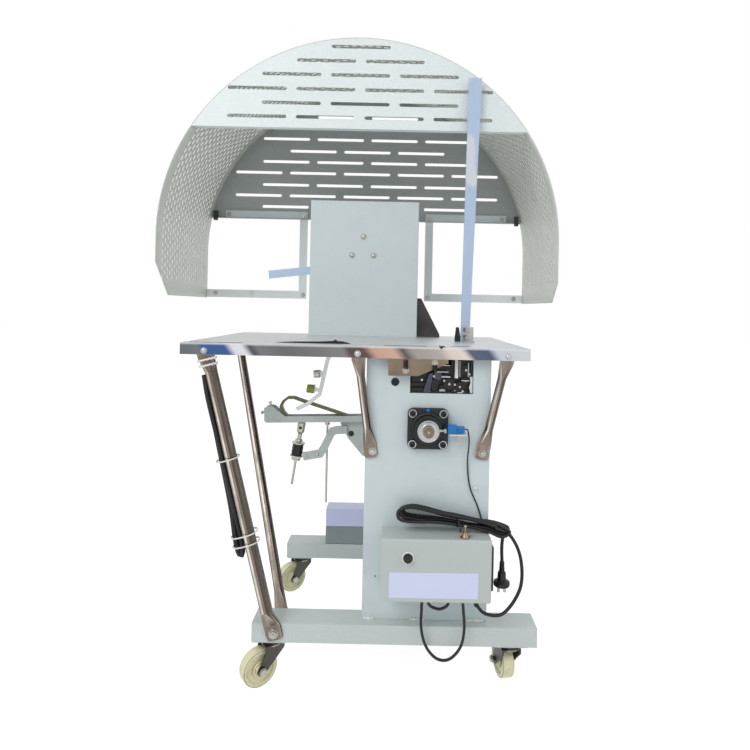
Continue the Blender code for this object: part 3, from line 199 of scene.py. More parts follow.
def bandFinish(name):
    # mirror-bright edge of the table: broad patches of painted reflection of the room along its length, and a painted
    # highlight on its top edge
    finish = Finish(name, 0.16, 0.75)
    parts = finish.node("SeparateXYZ", None, {"Vector": finish.place}, 0)
    height = finish.node("SeparateXYZ", None, {"Vector": finish.place}, 2)
    waves = (finish.noise(6, 4, 0.6) - 0.5) * 0.05
    along = (parts + 0.3495) * 1.3605 + (height - 0.7075) * 0.9 + waves
    paintedRoomPatches = [(0.0, (104, 110, 114)), (0.05, (112, 118, 122)), (0.062, (62, 92, 150)), (0.13, (66, 92, 146)), (0.150, (214, 216, 222)), (0.180, (220, 222, 226))]
    paintedRoomPatches += [(0.200, (74, 78, 86)), (0.222, (120, 121, 124)), (0.30, (106, 107, 108)), (0.40, (118, 118, 120)), (0.47, (132, 130, 130)), (0.490, (92, 78, 72))]
    paintedRoomPatches += [(0.530, (96, 80, 74)), (0.555, (196, 158, 142)), (0.610, (204, 168, 150)), (0.640, (88, 84, 88)), (0.665, (160, 152, 148)), (0.740, (176, 168, 162))]
    paintedRoomPatches += [(0.775, (216, 202, 192)), (0.815, (222, 210, 202)), (0.832, (92, 100, 122)), (0.885, (84, 92, 118)), (0.905, (196, 202, 212)), (1.0, (206, 208, 210))]
    shade = finish.ramp(along, *[(spot, screenColour(*patch)) for spot, patch in paintedRoomPatches])
    # painted highlight along the band's top edge
    edge = finish.ramp(height, (0.7165, 0.0), (0.7190, 1.0))
    finish.feed("Base Color", finish.blend(edge * 0.8, shade, screenColour(226, 228, 230)))
    finish.feed("Roughness", 0.14 + finish.noise(30, 3) * 0.10)
    finish.bump(finish.noise(12, 3), 0.2, 0.0010)
    return finish.material


def filmFinish(name, colour, bare, cover, wrinkles=34.0, stretch=(1, 1, 1)):
    # thin protective film over steel, creased and darkened along the creases with painted shade, with bare metal
    # showing where it has lifted
    finish = Finish(name, 0.3, 0.5)
    creases = finish.noise(wrinkles, 6, 0.62, stretch)
    lifted = finish.ramp(finish.noise(9, 6, 0.65, stretch), (cover, 0.0), (cover + 0.04, 1.0))
    # painted shade: the film's colour darkens with the crease pattern
    shade = finish.blend(creases * 0.5, screenColour(*colour), screenColour(*[c * 0.82 for c in colour]))
    finish.feed("Base Color", finish.blend(lifted, shade, screenColour(*bare)))
    finish.feed("Metallic", 0.25 + lifted * 0.65)
    finish.feed("Roughness", 0.34 - lifted * 0.12 + creases * 0.14)
    finish.bump(creases, 0.55, 0.002)
    return finish.material


cabinetPaint = paintFinish("cabinetPaint", (207, 219, 222), (180, 190, 190), 0.4, 800, 0.22, 0.3)
boxPaint = paintFinish("boxPaint", (194, 203, 201), (172, 178, 174), 0.36, 900, 0.22, 0.2, 0.05)
hoodPaint = paintFinish("hoodPaint", (230, 239, 239), (205, 211, 210), 0.42, 520, 0.5, 0.2, 0.26)
archPaint = paintFinish("archPaint", (219, 222, 215), (200, 202, 194), 0.42, 560, 0.4, 0.15, 0.12)
columnPaint = paintFinish("columnPaint", (206, 216, 218), (182, 190, 190), 0.42, 640, 0.4, 0.25, 0.14)
leverPaint = paintFinish("leverPaint", (182, 190, 188), (140, 142, 132), 0.4, 800, 0.2, 0.55)
tableSteel = filmFinish("tableSteel", (216, 219, 221), (206, 209, 212), 0.62, 26, (1, 1.6, 1))
brightSteel = steelFinish("brightSteel", (205, 206, 208), (168, 170, 173), 0.22, (1, 1, 4), 60)
zincSteel = steelFinish("zincSteel", (198, 196, 186), (162, 162, 158), 0.3, (1, 1, 1), 90, 0.12)
# struts: steel with a painted reflection and a painted highlight in its colour
strutPaintedReflection = tubeFinish("strutPaintedReflection")
bandPaintedReflection = bandFinish("bandPaintedReflection")
brownSteel = steelFinish("brownSteel", (150, 134, 116), (112, 98, 84), 0.34, (1, 1, 1), 40, 0.4, 0.85)
shaftSteel = steelFinish("shaftSteel", (196, 192, 186), (140, 130, 118), 0.2, (1, 1, 1), 120, 0.15)
darkSteel = steelFinish("darkSteel", (84, 84, 84), (56, 55, 54), 0.44, (1, 1, 1), 50, 0.25, 0.7)
forkSteel = steelFinish("forkSteel", (92, 90, 86), (58, 56, 54), 0.36, (1, 1, 1), 50, 0.3, 0.8)
castIron = mouldedFinish("castIron", (6, 18, 22), (14, 28, 31), 0.5, 260, 0.5)
blackPlastic = mouldedFinish("blackPlastic", (3, 3, 5), (16, 16, 19), 0.42, 500, 0.2)
blackRubber = mouldedFinish("blackRubber", (3, 3, 5), (14, 14, 17), 0.5, 600, 0.25)
creamNylon = mouldedFinish("creamNylon", (230, 226, 188), (168, 160, 118), 0.36, 200, 0.15, 0.1)
sensorBlue = mouldedFinish("sensorBlue", (0, 112, 184), (0, 92, 160), 0.4, 500, 0.1)
olivePaint = mouldedFinish("olivePaint", (104, 112, 74), (132, 120, 84), 0.45, 300, 0.3)
strapGreen = mouldedFinish("strapGreen", (96, 104, 62), (126, 92, 64), 0.42, 90, 0.3)
knobGreen = mouldedFinish("knobGreen", (128, 138, 44), (96, 92, 52), 0.42, 200, 0.3)
seamBrown = mouldedFinish("seamBrown", (58, 42, 30), (34, 28, 24), 0.6, 200, 0.3)
slateSteel = steelFinish("slateSteel", (92, 94, 106), (62, 64, 76), 0.36, (1, 1, 1), 60, 0.1, 0.6)
weldSteel = steelFinish("weldSteel", (226, 230, 230), (190, 196, 198), 0.34, (1, 1, 1), 80, 0.0, 0.3)
whiteTie = mouldedFinish("whiteTie", (232, 233, 228), (206, 206, 200), 0.36, 400, 0.1)
brassScrew = steelFinish("brassScrew", (176, 158, 136), (124, 98, 76), 0.36, (1, 1, 1), 70, 0.3)
lidLavender = paintFinish("lidLavender", (216, 222, 255), (200, 204, 236), 0.4, 700, 0.15, 0.2)
# darker copy of the hood paint: painted shade for the back plate inside the hood
backPlateShadePaint = paintFinish("backPlateShadePaint", (172, 178, 176), (146, 152, 150), 0.46, 520, 0.5, 0.2, 0.26)
# darker copy of the grey paint: painted shade on the rod box
rodBoxShadePaint = paintFinish("rodBoxShadePaint", (146, 156, 158), (120, 128, 130), 0.46, 640, 0.4, 0.25, 0.14)
beamPaint = paintFinish("beamPaint", (204, 214, 212), (186, 194, 192), 0.42, 640, 0.4, 0.25, 0.14)
framePaint = paintFinish("framePaint", (232, 240, 240), (206, 212, 212), 0.42, 640, 0.4, 0.2, 0.1)
milkWhite = mouldedFinish("milkWhite", (238, 238, 236), (216, 216, 212), 0.4, 300, 0.1)
sheetWhite = paintFinish("sheetWhite", (218, 224, 252), (208, 214, 240), 0.55, 260, 0.08, 0.15)
filmBlue = filmFinish("filmBlue", (182, 202, 228), (204, 208, 214), 0.56, 40, (1, 1, 0.35))
filmGrey = filmFinish("filmGrey", (176, 182, 190), (92, 94, 98), 0.52, 60)
print("finishes made")


def dress(finish, *names):
    for name in names:
        for index in range(len(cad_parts[name].material_slots)):
            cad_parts[name].material_slots[index].material = finish


def newPiece(name, bm, finish, body="machine", angle=35, shift=tableShift, bevel=0.0, segments=2):
    # a mesh in the table's frame becomes a piece that rides on a body
    bmesh.ops.recalc_face_normals(bm, faces=bm.faces)
    bmesh.ops.translate(bm, verts=bm.verts, vec=shift)
    mesh = bpy.data.meshes.new(name)
    bm.to_mesh(mesh)
    bm.free()
    mesh.materials.append(finish)
    mesh.shade_smooth()
    mesh.set_sharp_from_angle(angle=math.radians(angle))
    item = bpy.data.objects.new(name, mesh)
    scene.collection.objects.link(item)
    if bevel:
        rounding = item.modifiers.new("rounding", "BEVEL")
        rounding.width = bevel
        rounding.segments = segments
        rounding.limit_method = "ANGLE"
        rounding.harden_normals = False
    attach(item, body)
    return item


axes = {"x": Vector((1, 0, 0)), "y": Vector((0, 1, 0)), "z": Vector((0, 0, 1))}


def turnTo(direction):
    return Vector(direction).to_track_quat("Z", "Y").to_matrix().to_4x4()


def addTurned(bm, centre, direction, profile, steps=24):
    # profile of (radius, height) pairs, revolved about a direction; ends closed where the radius is 0
    matrix = Matrix.Translation(centre) @ turnTo(direction)
    rings = []
    for radius, height in profile:
        if radius < 1e-7:
            rings.append([bm.verts.new(matrix @ Vector((0, 0, height)))])
            continue
        turns = [2 * math.pi * step / steps for step in range(steps)]
        rings.append([bm.verts.new(matrix @ Vector((radius * math.cos(t), radius * math.sin(t), height))) for t in turns])
    for first, second in zip(rings, rings[1:]):
        for i in range(steps):
            j = (i + 1) % steps
            corners = [first[i % len(first)], first[j % len(first)], second[j % len(second)], second[i % len(second)]]
            kept = [corner for index, corner in enumerate(corners) if corner not in corners[:index]]
            if len(kept) > 2:
                bm.faces.new(kept)


def addBox(bm, low, high, matrix=None):
    low, high = Vector(low), Vector(high)
    made = bmesh.ops.create_cube(bm, size=1, matrix=Matrix.Translation((low + high) / 2) @ Matrix.Diagonal((*(high - low), 1)))
    if matrix:
        bmesh.ops.transform(bm, matrix=matrix, verts=made["verts"])


def addPrism(bm, outline, plane, low, high):
    # flat outline in XY, XZ or YZ pushed from low to high
    def point(u, v, w):
        return {"XY": (u, v, w), "XZ": (u, w, v), "YZ": (w, u, v)}[plane]

    first = [bm.verts.new(point(u, v, low)) for u, v in outline]
    second = [bm.verts.new(point(u, v, high)) for u, v in outline]
    bm.faces.new(first)
    bm.faces.new(second)
    for i in range(len(outline)):
        j = (i + 1) % len(outline)
        bm.faces.new((first[i], first[j], second[j], second[i]))


def addHex(bm, centre, direction, across, height, washer=0.0, washerThickness=0.0012, turn=0.0, shank=0.0):
    # hexagon head with its chamfer, on a washer; the centre is where it sits
    direction = Vector(direction).normalized()
    base = Vector(centre)
    if washer:
        rim = washerThickness * 0.25
        profile = [(washer * 0.5, 0), (washer - rim, 0), (washer, rim), (washer, washerThickness - rim)]
        profile += [(washer - rim, washerThickness), (0, washerThickness)]
        addTurned(bm, base, direction, [(0, 0), *profile[1:]], 24)
        base = base + direction * washerThickness
    matrix = Matrix.Translation(base) @ turnTo(direction) @ Matrix.Rotation(turn, 4, "Z")
    radius = across / math.sqrt(3)
    rings = []
    for scale, level in ((1, 0), (1, height * 0.82), (0.86, height)):
        turns = [math.pi * step / 3 for step in range(6)]
        rings.append([bm.verts.new(matrix @ Vector((radius * scale * math.cos(t), radius * scale * math.sin(t), level))) for t in turns])
    for first, second in zip(rings, rings[1:]):
        for i in range(6):
            j = (i + 1) % 6
            bm.faces.new((first[i], first[j], second[j], second[i]))
    bm.faces.new(rings[0])
    bm.faces.new(rings[-1])
    if shank:
        addTurned(bm, base + direction * height * 0.98, direction, [(across * 0.28, 0), (across * 0.28, shank), (across * 0.22, shank * 1.25), (0, shank * 1.25)], 12)


def addSocketScrew(bm, centre, direction, radius, height):
    # cap screw with a recessed hexagon read as a dark dish
    profile = [(radius, 0), (radius, height * 0.8), (radius * 0.86, height), (radius * 0.5, height), (radius * 0.46, height * 0.4), (0, height * 0.4)]
    addTurned(bm, centre, direction, profile, 20)


def addDome(bm, centre, direction, radius, height):
    profile = [(radius, 0), (radius * 0.98, height * 0.3), (radius * 0.84, height * 0.68), (radius * 0.5, height * 0.93), (0, height)]
    addTurned(bm, centre, direction, profile, 20)


def flowPoints(points, count):
    # evenly spaced points on a smooth curve through the given ones, as the solids' cords run
    points = [Vector(point) for point in points]
    ends = [2 * points[0] - points[1], *points, 2 * points[-1] - points[-2]]
    fine = []
    for a, b, c, d in zip(ends, ends[1:], ends[2:], ends[3:]):
        for step in range(24):
            t = step / 24
            fine.append(0.5 * (2 * b + (c - a) * t + (2 * a - 5 * b + 4 * c - d) * t**2 + (3 * b - a - 3 * c + d) * t**3))
    fine.append(points[-1])
    reach = [0.0]
    for first, second in zip(fine, fine[1:]):
        reach.append(reach[-1] + (second - first).length)
    result, index = [], 0
    for step in range(count):
        goal = reach[-1] * step / (count - 1)
        while index < len(fine) - 2 and reach[index + 1] < goal:
            index += 1
        part = (goal - reach[index]) / max(1e-9, reach[index + 1] - reach[index])
        result.append(fine[index].lerp(fine[index + 1], min(1.0, part)))
    return result


def wirePiece(name, points, radius, finish, body="machine", shift=tableShift, resolution=4):
    # round cord, wire or spring as a curve of one open spline
    curve = bpy.data.curves.new(name, "CURVE")
    curve.dimensions = "3D"
    curve.bevel_depth = radius
    curve.bevel_resolution = resolution
    curve.use_fill_caps = True
    spline = curve.splines.new("POLY")
    spline.points.add(len(points) - 1)
    for point, place in zip(spline.points, points):
        point.co = (*(Vector(place) + Vector(shift)), 1)
    spline.use_smooth = True
    curve.materials.append(finish)
    item = bpy.data.objects.new(name, curve)
    scene.collection.objects.link(item)
    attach(item, body)
    return item


def lengthOf(points):
    return sum((Vector(b) - Vector(a)).length for a, b in zip(points, points[1:]))


def flatPiece(name, outlines, low, high, finish, body="machine"):
    # sheet in the XZ plane with holes: the first outline is its edge, the others its holes
    curve = bpy.data.curves.new(name, "CURVE")
    curve.dimensions = "2D"
    curve.fill_mode = "BOTH"
    curve.extrude = (high - low) / 2
    for outline in outlines:
        spline = curve.splines.new("POLY")
        spline.points.add(len(outline) - 1)
        for point, (u, v) in zip(spline.points, outline):
            point.co = (u, v, 0, 1)
        spline.use_cyclic_u = True
    helper = bpy.data.objects.new(name + "Flat", curve)
    scene.collection.objects.link(helper)
    bpy.context.view_layer.update()
    mesh = bpy.data.meshes.new_from_object(helper.evaluated_get(bpy.context.evaluated_depsgraph_get()))
    bpy.data.objects.remove(helper)
    bm = bmesh.new()
    bm.from_mesh(mesh)
    bmesh.ops.remove_doubles(bm, verts=bm.verts, dist=1e-6)
    bmesh.ops.transform(bm, matrix=Matrix.Translation((0, (low + high) / 2, 0)) @ Matrix.Rotation(math.pi / 2, 4, "X"), verts=bm.verts)
    return newPiece(name, bm, finish, body)


def circlePoints(u, v, radius, sides=24):
    turns = [2 * math.pi * step / sides for step in range(sides)]
    return [(u + radius * math.cos(turn), v + radius * math.sin(turn)) for turn in turns]


def stadium(u, v, length, height, steps=5):
    # slot with round ends
    outline = []
    for side, start in ((1, -90), (-1, 90)):
        for step in range(steps + 1):
            turn = math.radians(start + 180 * step / steps)
            outline.append((u + side * (length - height) / 2 + height / 2 * math.cos(turn), v + height / 2 * math.sin(turn)))
    return outline

dress(cabinetPaint, "cabinet_shell", "cabinet_rear_wall", "cabinet_left_wall", "cabinet_right_wall", "sensor_bracket")
dress(boxPaint, "control_box")
dress(columnPaint, "column")
dress(framePaint, "hood_frame_left", "hood_frame_right")
dress(beamPaint, "front_beam", "rear_beam")
dress(rodBoxShadePaint, "rod_box")
dress(leverPaint, "lever_bracket", "tension_lever", "crank_arm")
dress(tableSteel, "table_top")
dress(brightSteel, "hook_lever", "arm_bracket")
dress(zincSteel, "pull_rod")
dress(shaftSteel, "main_shaft")
dress(strutPaintedReflection, "strut_left_front", "strut_left_rear", "strut_front_inner", "strut_front_outer", "strut_rear_inner", "strut_rear_outer")
dress(brownSteel, "film_guard_plate")
dress(filmBlue, "arm_post", "side_arm")
dress(darkSteel, "column_gusset", "spring_adjuster")
dress(forkSteel, *["caster_fork_" + corner for corner in ("front_left", "front_right", "rear_left", "rear_right")])
dress(creamNylon, *["caster_wheel_" + corner for corner in ("front_left", "front_right", "rear_left", "rear_right")])
dress(castIron, "flange_bearing")
dress(blackPlastic, "mechanism_block", "start_button", "side_switch", "trip_lever")
dress(blackRubber, "spare_belt", "mains_cord", "mains_cord_hank", "mains_cord_tail", "mains_plug", "motor_lead", "short_lead", "sensor_lead")
dress(sensorBlue, "proximity_sensor")
dress(strapGreen, "guide_strap")
dress(lidLavender, "rod_box_lid")
dress(brassScrew, "lid_screw")
print("solids dressed")

# camera at the photograph's angle
cameraSizes = {"place": (0.098, -1.48, 0.80), "turn": (math.pi / 2, -0.021, 0), "lens": 27.07, "shift": (-0.0259, -0.0888)}
lens = bpy.data.cameras.new("viewpoint")
lens.lens = cameraSizes["lens"]
lens.sensor_width = 36
lens.shift_x, lens.shift_y = cameraSizes["shift"]
lens.clip_start, lens.clip_end = 0.02, 60
camera = bpy.data.objects.new("viewpoint", lens)
camera.location = cameraSizes["place"]
camera.rotation_euler = cameraSizes["turn"]
scene.collection.objects.link(camera)
scene.camera = camera

# white studio: an even world, one broad lamp, and a pale floor that only catches the shadow
studio = {"world": 0.60, "key": 36, "fill": 8, "back": 5, "floorLevel": 0.0, "floorGlow": 1.30, "floorShare": 0.7}


def seenDirectly(tree, path):
    # 1 for camera, mirror and see-through rays, 0 for the rays that light the machine
    camera, glossy, through = [Wire(tree, path.outputs[name]) for name in ("Is Camera Ray", "Is Glossy Ray", "Is Transmission Ray")]
    return camera.math("MAXIMUM", camera, glossy.math("MAXIMUM", glossy, through))


def makeStudio():
    world = bpy.data.worlds.new("studio")
    scene.world = world
    world.use_nodes = True
    tree = world.node_tree
    lit = tree.nodes["Background"]
    lit.inputs["Color"].default_value = (1, 1, 1, 1)
    lit.inputs["Strength"].default_value = studio["world"]
    seen = tree.nodes.new("ShaderNodeBackground")
    seen.inputs["Color"].default_value = (1, 1, 1, 1)
    seen.inputs["Strength"].default_value = 1.0
    path = tree.nodes.new("ShaderNodeLightPath")
    either = seenDirectly(tree, path)
    mix = tree.nodes.new("ShaderNodeMixShader")
    tree.links.new(either.socket, mix.inputs["Fac"])
    tree.links.new(lit.outputs[0], mix.inputs[1])
    tree.links.new(seen.outputs[0], mix.inputs[2])
    tree.links.new(mix.outputs[0], tree.nodes["World Output"].inputs["Surface"])
    for name, place, aim, power, size in (
        ("keyLamp", (-1.5, -2.3, 2.6), (0, 0, 0.7), studio["key"], 1.6),
        ("fillLamp", (2.2, -1.6, 1.7), (0, 0, 0.7), studio["fill"], 1.8),
        ("backLamp", (0.6, 2.6, 2.2), (0, 0, 0.9), studio["back"], 1.8),
    ):
        lamp = bpy.data.lights.new(name, "AREA")
        lamp.energy = power
        lamp.size = size
        item = bpy.data.objects.new(name, lamp)
        item.location = place
        item.rotation_euler = (Vector(aim) - Vector(place)).to_track_quat("-Z", "Y").to_euler()
        scene.collection.objects.link(item)
    bm = bmesh.new()
    bmesh.ops.create_grid(bm, x_segments=1, y_segments=1, size=14)
    mesh = bpy.data.meshes.new("floor")
    bm.to_mesh(mesh)
    bm.free()
    floor = bpy.data.objects.new("floor", mesh)
    floor.location = (0, 0, studio["floorLevel"] - 0.0004)
    scene.collection.objects.link(floor)
    ground = bpy.data.materials.new("floorWhite")
    ground.use_nodes = True
    tree = ground.node_tree
    shader = tree.nodes["Principled BSDF"]
    shader.inputs["Base Color"].default_value = (0.9, 0.9, 0.9, 1)
    shader.inputs["Roughness"].default_value = 0.9
    shader.inputs["Specular IOR Level"].default_value = 0.0
    glow = tree.nodes.new("ShaderNodeEmission")
    glow.inputs["Strength"].default_value = studio["floorGlow"]
    share = seenDirectly(tree, tree.nodes.new("ShaderNodeLightPath")) * studio["floorShare"]
    blend = tree.nodes.new("ShaderNodeMixShader")
    tree.links.new(share.socket, blend.inputs["Fac"])
    tree.links.new(shader.outputs[0], blend.inputs[1])
    tree.links.new(glow.outputs[0], blend.inputs[2])
    tree.links.new(blend.outputs[0], tree.nodes["Material Output"].inputs["Surface"])
    mesh.materials.append(ground)


makeStudio()
scene.view_settings.view_transform = "Standard"
print("camera and studio set")


# guard: the arched sheet is punched flat, then bent round
archSizes = {
    "centreX": -0.018, "centreZ": 0.973, "radius": 0.512, "sheet": 0.0018, "skirt": 0.150,
    "front": 0.020, "depth": 0.400, "leftChamfer": 0.085, "rightChamfer": 0.050,
    "pitchAlong": 0.0210, "pitchAcross": 0.0165, "slotLength": 0.0150, "slotHeight": 0.0058, "plainEdge": 0.030, "plainFoot": 0.036,
}


def bentPoint(along, across, depth):
    # along runs round the arch from the left foot, across from front to back, depth outwards from the inner face
    s = archSizes
    radius = s["radius"] - s["sheet"] + depth
    middle = s["radius"] - s["sheet"] / 2
    if along < s["skirt"]:
        return Vector((s["centreX"] - radius, s["front"] + across, s["centreZ"] - s["skirt"] + along))
    turn = (along - s["skirt"]) / middle
    if turn > math.pi:
        return Vector((s["centreX"] + radius, s["front"] + across, s["centreZ"] - (turn - math.pi) * middle))
    return Vector((s["centreX"] - radius * math.cos(turn), s["front"] + across, s["centreZ"] + radius * math.sin(turn)))


def makeArch():
    s = archSizes
    total = 2 * s["skirt"] + math.pi * (s["radius"] - s["sheet"] / 2)
    bm = bmesh.new()
    columns = int((total - 2 * s["plainFoot"]) / s["pitchAlong"])
    rows = int((s["depth"] - 2 * s["plainEdge"]) / s["pitchAcross"])
    startAlong = (total - columns * s["pitchAlong"]) / 2
    startAcross = (s["depth"] - rows * s["pitchAcross"]) / 2
    halfLength, halfHeight = s["slotLength"] / 2, s["slotHeight"] / 2
    for row in range(rows):
        v = startAcross + (row + 0.5) * s["pitchAcross"]
        shift = s["pitchAlong"] / 2 if row % 2 else 0
        cells = columns - (1 if row % 2 else 0)
        for cell in range(cells):
            u = startAlong + shift + (cell + 0.5) * s["pitchAlong"]
            w, h = s["pitchAlong"] / 2, s["pitchAcross"] / 2
            outer = [(w, 0), (w, h), (0, h), (-w, h), (-w, 0), (-w, -h), (0, -h), (w, -h)]
            inner = []
            for side, start in ((1, 0), (-1, 90), (-1, 180), (1, 270)):
                for step in range(3):
                    turn = math.radians(start + 45 * step)
                    inner.append((side * (halfLength - halfHeight) + halfHeight * math.cos(turn), halfHeight * math.sin(turn)))
            outerVerts = [bm.verts.new((u + a, v + b, 0)) for a, b in outer]
            innerVerts = [bm.verts.new((u + a, v + b, 0)) for a, b in inner]
            # each of the four corners: three inner points face two outer edges
            for quarter in range(4):
                o = [outerVerts[(2 * quarter + k) % 8] for k in range(3)]
                i = [innerVerts[3 * quarter + k] for k in range(3)]
                bm.faces.new((o[0], o[1], i[1], i[0]))
                bm.faces.new((o[1], o[2], i[2], i[1]))
                after = innerVerts[(3 * quarter + 3) % 12]
                if after is not i[2]:
                    bm.faces.new((o[2], after, i[2]))
    # plain borders in strips along the sheet
    left, right = startAlong, startAlong + columns * s["pitchAlong"]
    low, high = startAcross, startAcross + rows * s["pitchAcross"]
    marks = [0.0, 0.012, 0.024]
    marks += [left + step * s["pitchAlong"] / 2 for step in range(2 * columns + 1)]
    marks += [total - 0.024, total - 0.012, total]
    for first, second in zip(marks, marks[1:]):
        for a, b in ((0.0, low / 2), (low / 2, low), (high, (high + s["depth"]) / 2), ((high + s["depth"]) / 2, s["depth"])):
            corners = [(first, a), (second, a), (second, b), (first, b)]
            bm.faces.new([bm.verts.new((u, v, 0)) for u, v in corners])
    levels = [low + step * s["pitchAcross"] / 2 for step in range(2 * rows + 1)]
    for first, second in [(m, n) for m, n in zip(marks, marks[1:]) if n <= left + 1e-6 or m >= right - 1e-6]:
        for a, b in zip(levels, levels[1:]):
            bm.faces.new([bm.verts.new((u, v, 0)) for u, v in ((first, a), (second, a), (second, b), (first, b))])
    # half cells at the ends of the shifted rows
    for row in range(1, rows, 2):
        a, b = low + row * s["pitchAcross"], low + (row + 1) * s["pitchAcross"]
        for first, second in ((left, left + s["pitchAlong"] / 2), (right - s["pitchAlong"] / 2, right)):
            for c, d in ((a, (a + b) / 2), ((a + b) / 2, b)):
                bm.faces.new([bm.verts.new((u, v, 0)) for u, v in ((first, c), (second, c), (second, d), (first, d))])
    bmesh.ops.remove_doubles(bm, verts=bm.verts, dist=2e-5)
    for end, size, direction in ((0.0, s["leftChamfer"], 1), (total, s["rightChamfer"], -1)):
        cut = bmesh.ops.bisect_plane(
            bm, geom=bm.verts[:] + bm.edges[:] + bm.faces[:], plane_co=(end + direction * size, 0, 0),
            plane_no=(direction, 1, 0), clear_inner=True,
        )
        del cut
    for vertex in bm.verts:
        vertex.co = bentPoint(vertex.co.x, vertex.co.y, s["sheet"] / 2)
    bmesh.ops.recalc_face_normals(bm, faces=bm.faces)
    arch = newPiece("archedGuard", bm, archPaint, angle=50)
    skin = arch.modifiers.new("sheet", "SOLIDIFY")
    skin.thickness = s["sheet"]
    skin.offset = 0
    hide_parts("hood_arch")


makeArch()
print("arched guard punched and bent")

# slotted end plates of the guard
endPlates = {
    "slotLength": 0.150, "slotHeight": 0.009, "pitch": 0.1745, "middle": -0.018, "radius": 0.5099, "centreZ": 0.973,
    "front": {"y": 0.020, "chord": 1.253, "rows": ((1.461, 1), (1.425, 2), (1.389, 3), (1.3522, 4), (1.316, 3), (1.281, 4))},
    "back": {
        "y": 0.418, "chord": 1.081,
        "rows": ((1.414, 2), (1.378, 3), (1.342, 4), (1.303, 3), (1.268, 4), (1.232, 5), (1.193, 4), (1.158, 5), (1.122, 4)),
    },
    "sheet": 0.002,
}


def makeEndPlate(side, node, fold, finish):
    s, plate = endPlates, endPlates[side]
    low = math.asin((plate["chord"] - s["centreZ"]) / s["radius"])
    outline = []
    for step in range(81):
        turn = low + (math.pi - 2 * low) * step / 80
        outline.append((s["middle"] + s["radius"] * math.cos(turn), s["centreZ"] + s["radius"] * math.sin(turn)))
    holes = []
    for z, count in plate["rows"]:
        for index in range(count):
            holes.append(stadium(s["middle"] + (index - (count - 1) / 2) * s["pitch"], z, s["slotLength"], s["slotHeight"], 6))
    made = flatPiece(side + "GuardPlate", [outline, *holes], plate["y"], plate["y"] + s["sheet"], finish)
    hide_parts(node)
    # the sheet's lower edge is folded back into a narrow lip
    half = s["radius"] * math.cos(low) - 0.006
    bm = bmesh.new()
    near = plate["y"] + s["sheet"] if fold > 0 else plate["y"]
    ends = sorted((near, near + fold))
    addBox(bm, (s["middle"] - half, ends[0], plate["chord"]), (s["middle"] + half, ends[1], plate["chord"] + 0.0018))
    lip = newPiece(side + "GuardLip", bm, finish, bevel=0.0006)


makeEndPlate("front", "hood_front_plate", 0.016, hoodPaint)
# the back plate takes the darker paint, painted shade
makeEndPlate("back", "hood_back_plate", -0.012, backPlateShadePaint)
print("end plates slotted")


# screws and bolts, each group one piece
boltSizes = {"bandAcross": 0.010, "bandHeight": 0.0045, "footAcross": 0.013, "footHeight": 0.006}


def boltGroup(name, rows, finish):
    bm = bmesh.new()
    for kind, centre, direction, size, height, washer in rows:
        if kind == "hex":
            addHex(bm, centre, direction, size, height, washer, turn=rng.random(), shank=height * 0.35)
        elif kind == "dome":
            if washer:
                addTurned(bm, centre, direction, [(0, 0), (washer, 0), (washer, 0.0009), (washer - 0.0003, 0.0012), (0, 0.0012)], 20)
                centre = Vector(centre) + Vector(direction) * 0.0012
            addDome(bm, centre, direction, size, height)
        else:
            addSocketScrew(bm, centre, direction, size, height)
    made = newPiece(name, bm, finish)
    return made


toFront, toBack, toRight, toLeft, up = (0, -1, 0), (0, 1, 0), (1, 0, 0), (-1, 0, 0), (0, 0, 1)
bandFace, wallFace, columnFace, frameFace = -0.230, -0.205, 0.170, 0.4127
boltGroup("bandBolts", [("dome", (x, bandFace, 0.7035), toFront, 0.0052, 0.0034, 0.0068) for x in (-0.317, 0.005, 0.321)], brightSteel)
boltGroup("bandBoltsRear", [("dome", (x, 0.270, 0.7035), toBack, 0.0052, 0.0034, 0.0068) for x in (0.005, 0.321)], brightSteel)
strutFace = wallFace - 0.0003 - 0.0044
boltGroup("strutFootBolts", [("hex", (x, strutFace, 0.495), toFront, 0.0115, 0.0055, 0.0085) for x in (0.040, 0.2735)], zincSteel)
boltGroup("strutFootBoltsRear", [("hex", (x, -strutFace, 0.495), toBack, 0.0115, 0.0055, 0.0085) for x in (0.040, 0.2735)], zincSteel)
boltGroup("legBolts", [
    ("hex", (-0.158, -0.2347, 0.116), toFront, 0.014, 0.006, 0.010),
    ("hex", (-0.150, -0.1653, 0.116), toBack, 0.014, 0.006, 0.010),
    ("hex", (-0.3675, 0.190, 0.6995), toLeft, 0.0115, 0.005, 0.008),
], zincSteel)
boltGroup("columnBolts", [
    ("dome", (-0.0105, columnFace, 0.9990), toFront, 0.0062, 0.0042, 0.0085),
    ("dome", (-0.0415, columnFace, 0.9465), toFront, 0.0062, 0.0042, 0.0085),
    ("dome", (0.0185, columnFace, 0.9465), toFront, 0.0062, 0.0042, 0.0085),
], zincSteel)

# upper bars of the frames that carry the guard, and their bolts
frameBars = {"thickness": 0.005, "topLow": 1.0815, "topHigh": 1.1060}


def makeFrameBars():
    s = frameBars
    for side, near, far in (("left", -0.206, -0.470), ("right", 0.1746, 0.434)):
        low, high = sorted((near, far))
        bm = bmesh.new()
        addBox(bm, (low, frameFace - 0.0003 - 0.0028, s["topLow"]), (high, frameFace - 0.0003, s["topHigh"]))
        bar = newPiece(side + "TopBar", bm, columnPaint, bevel=0.0008)


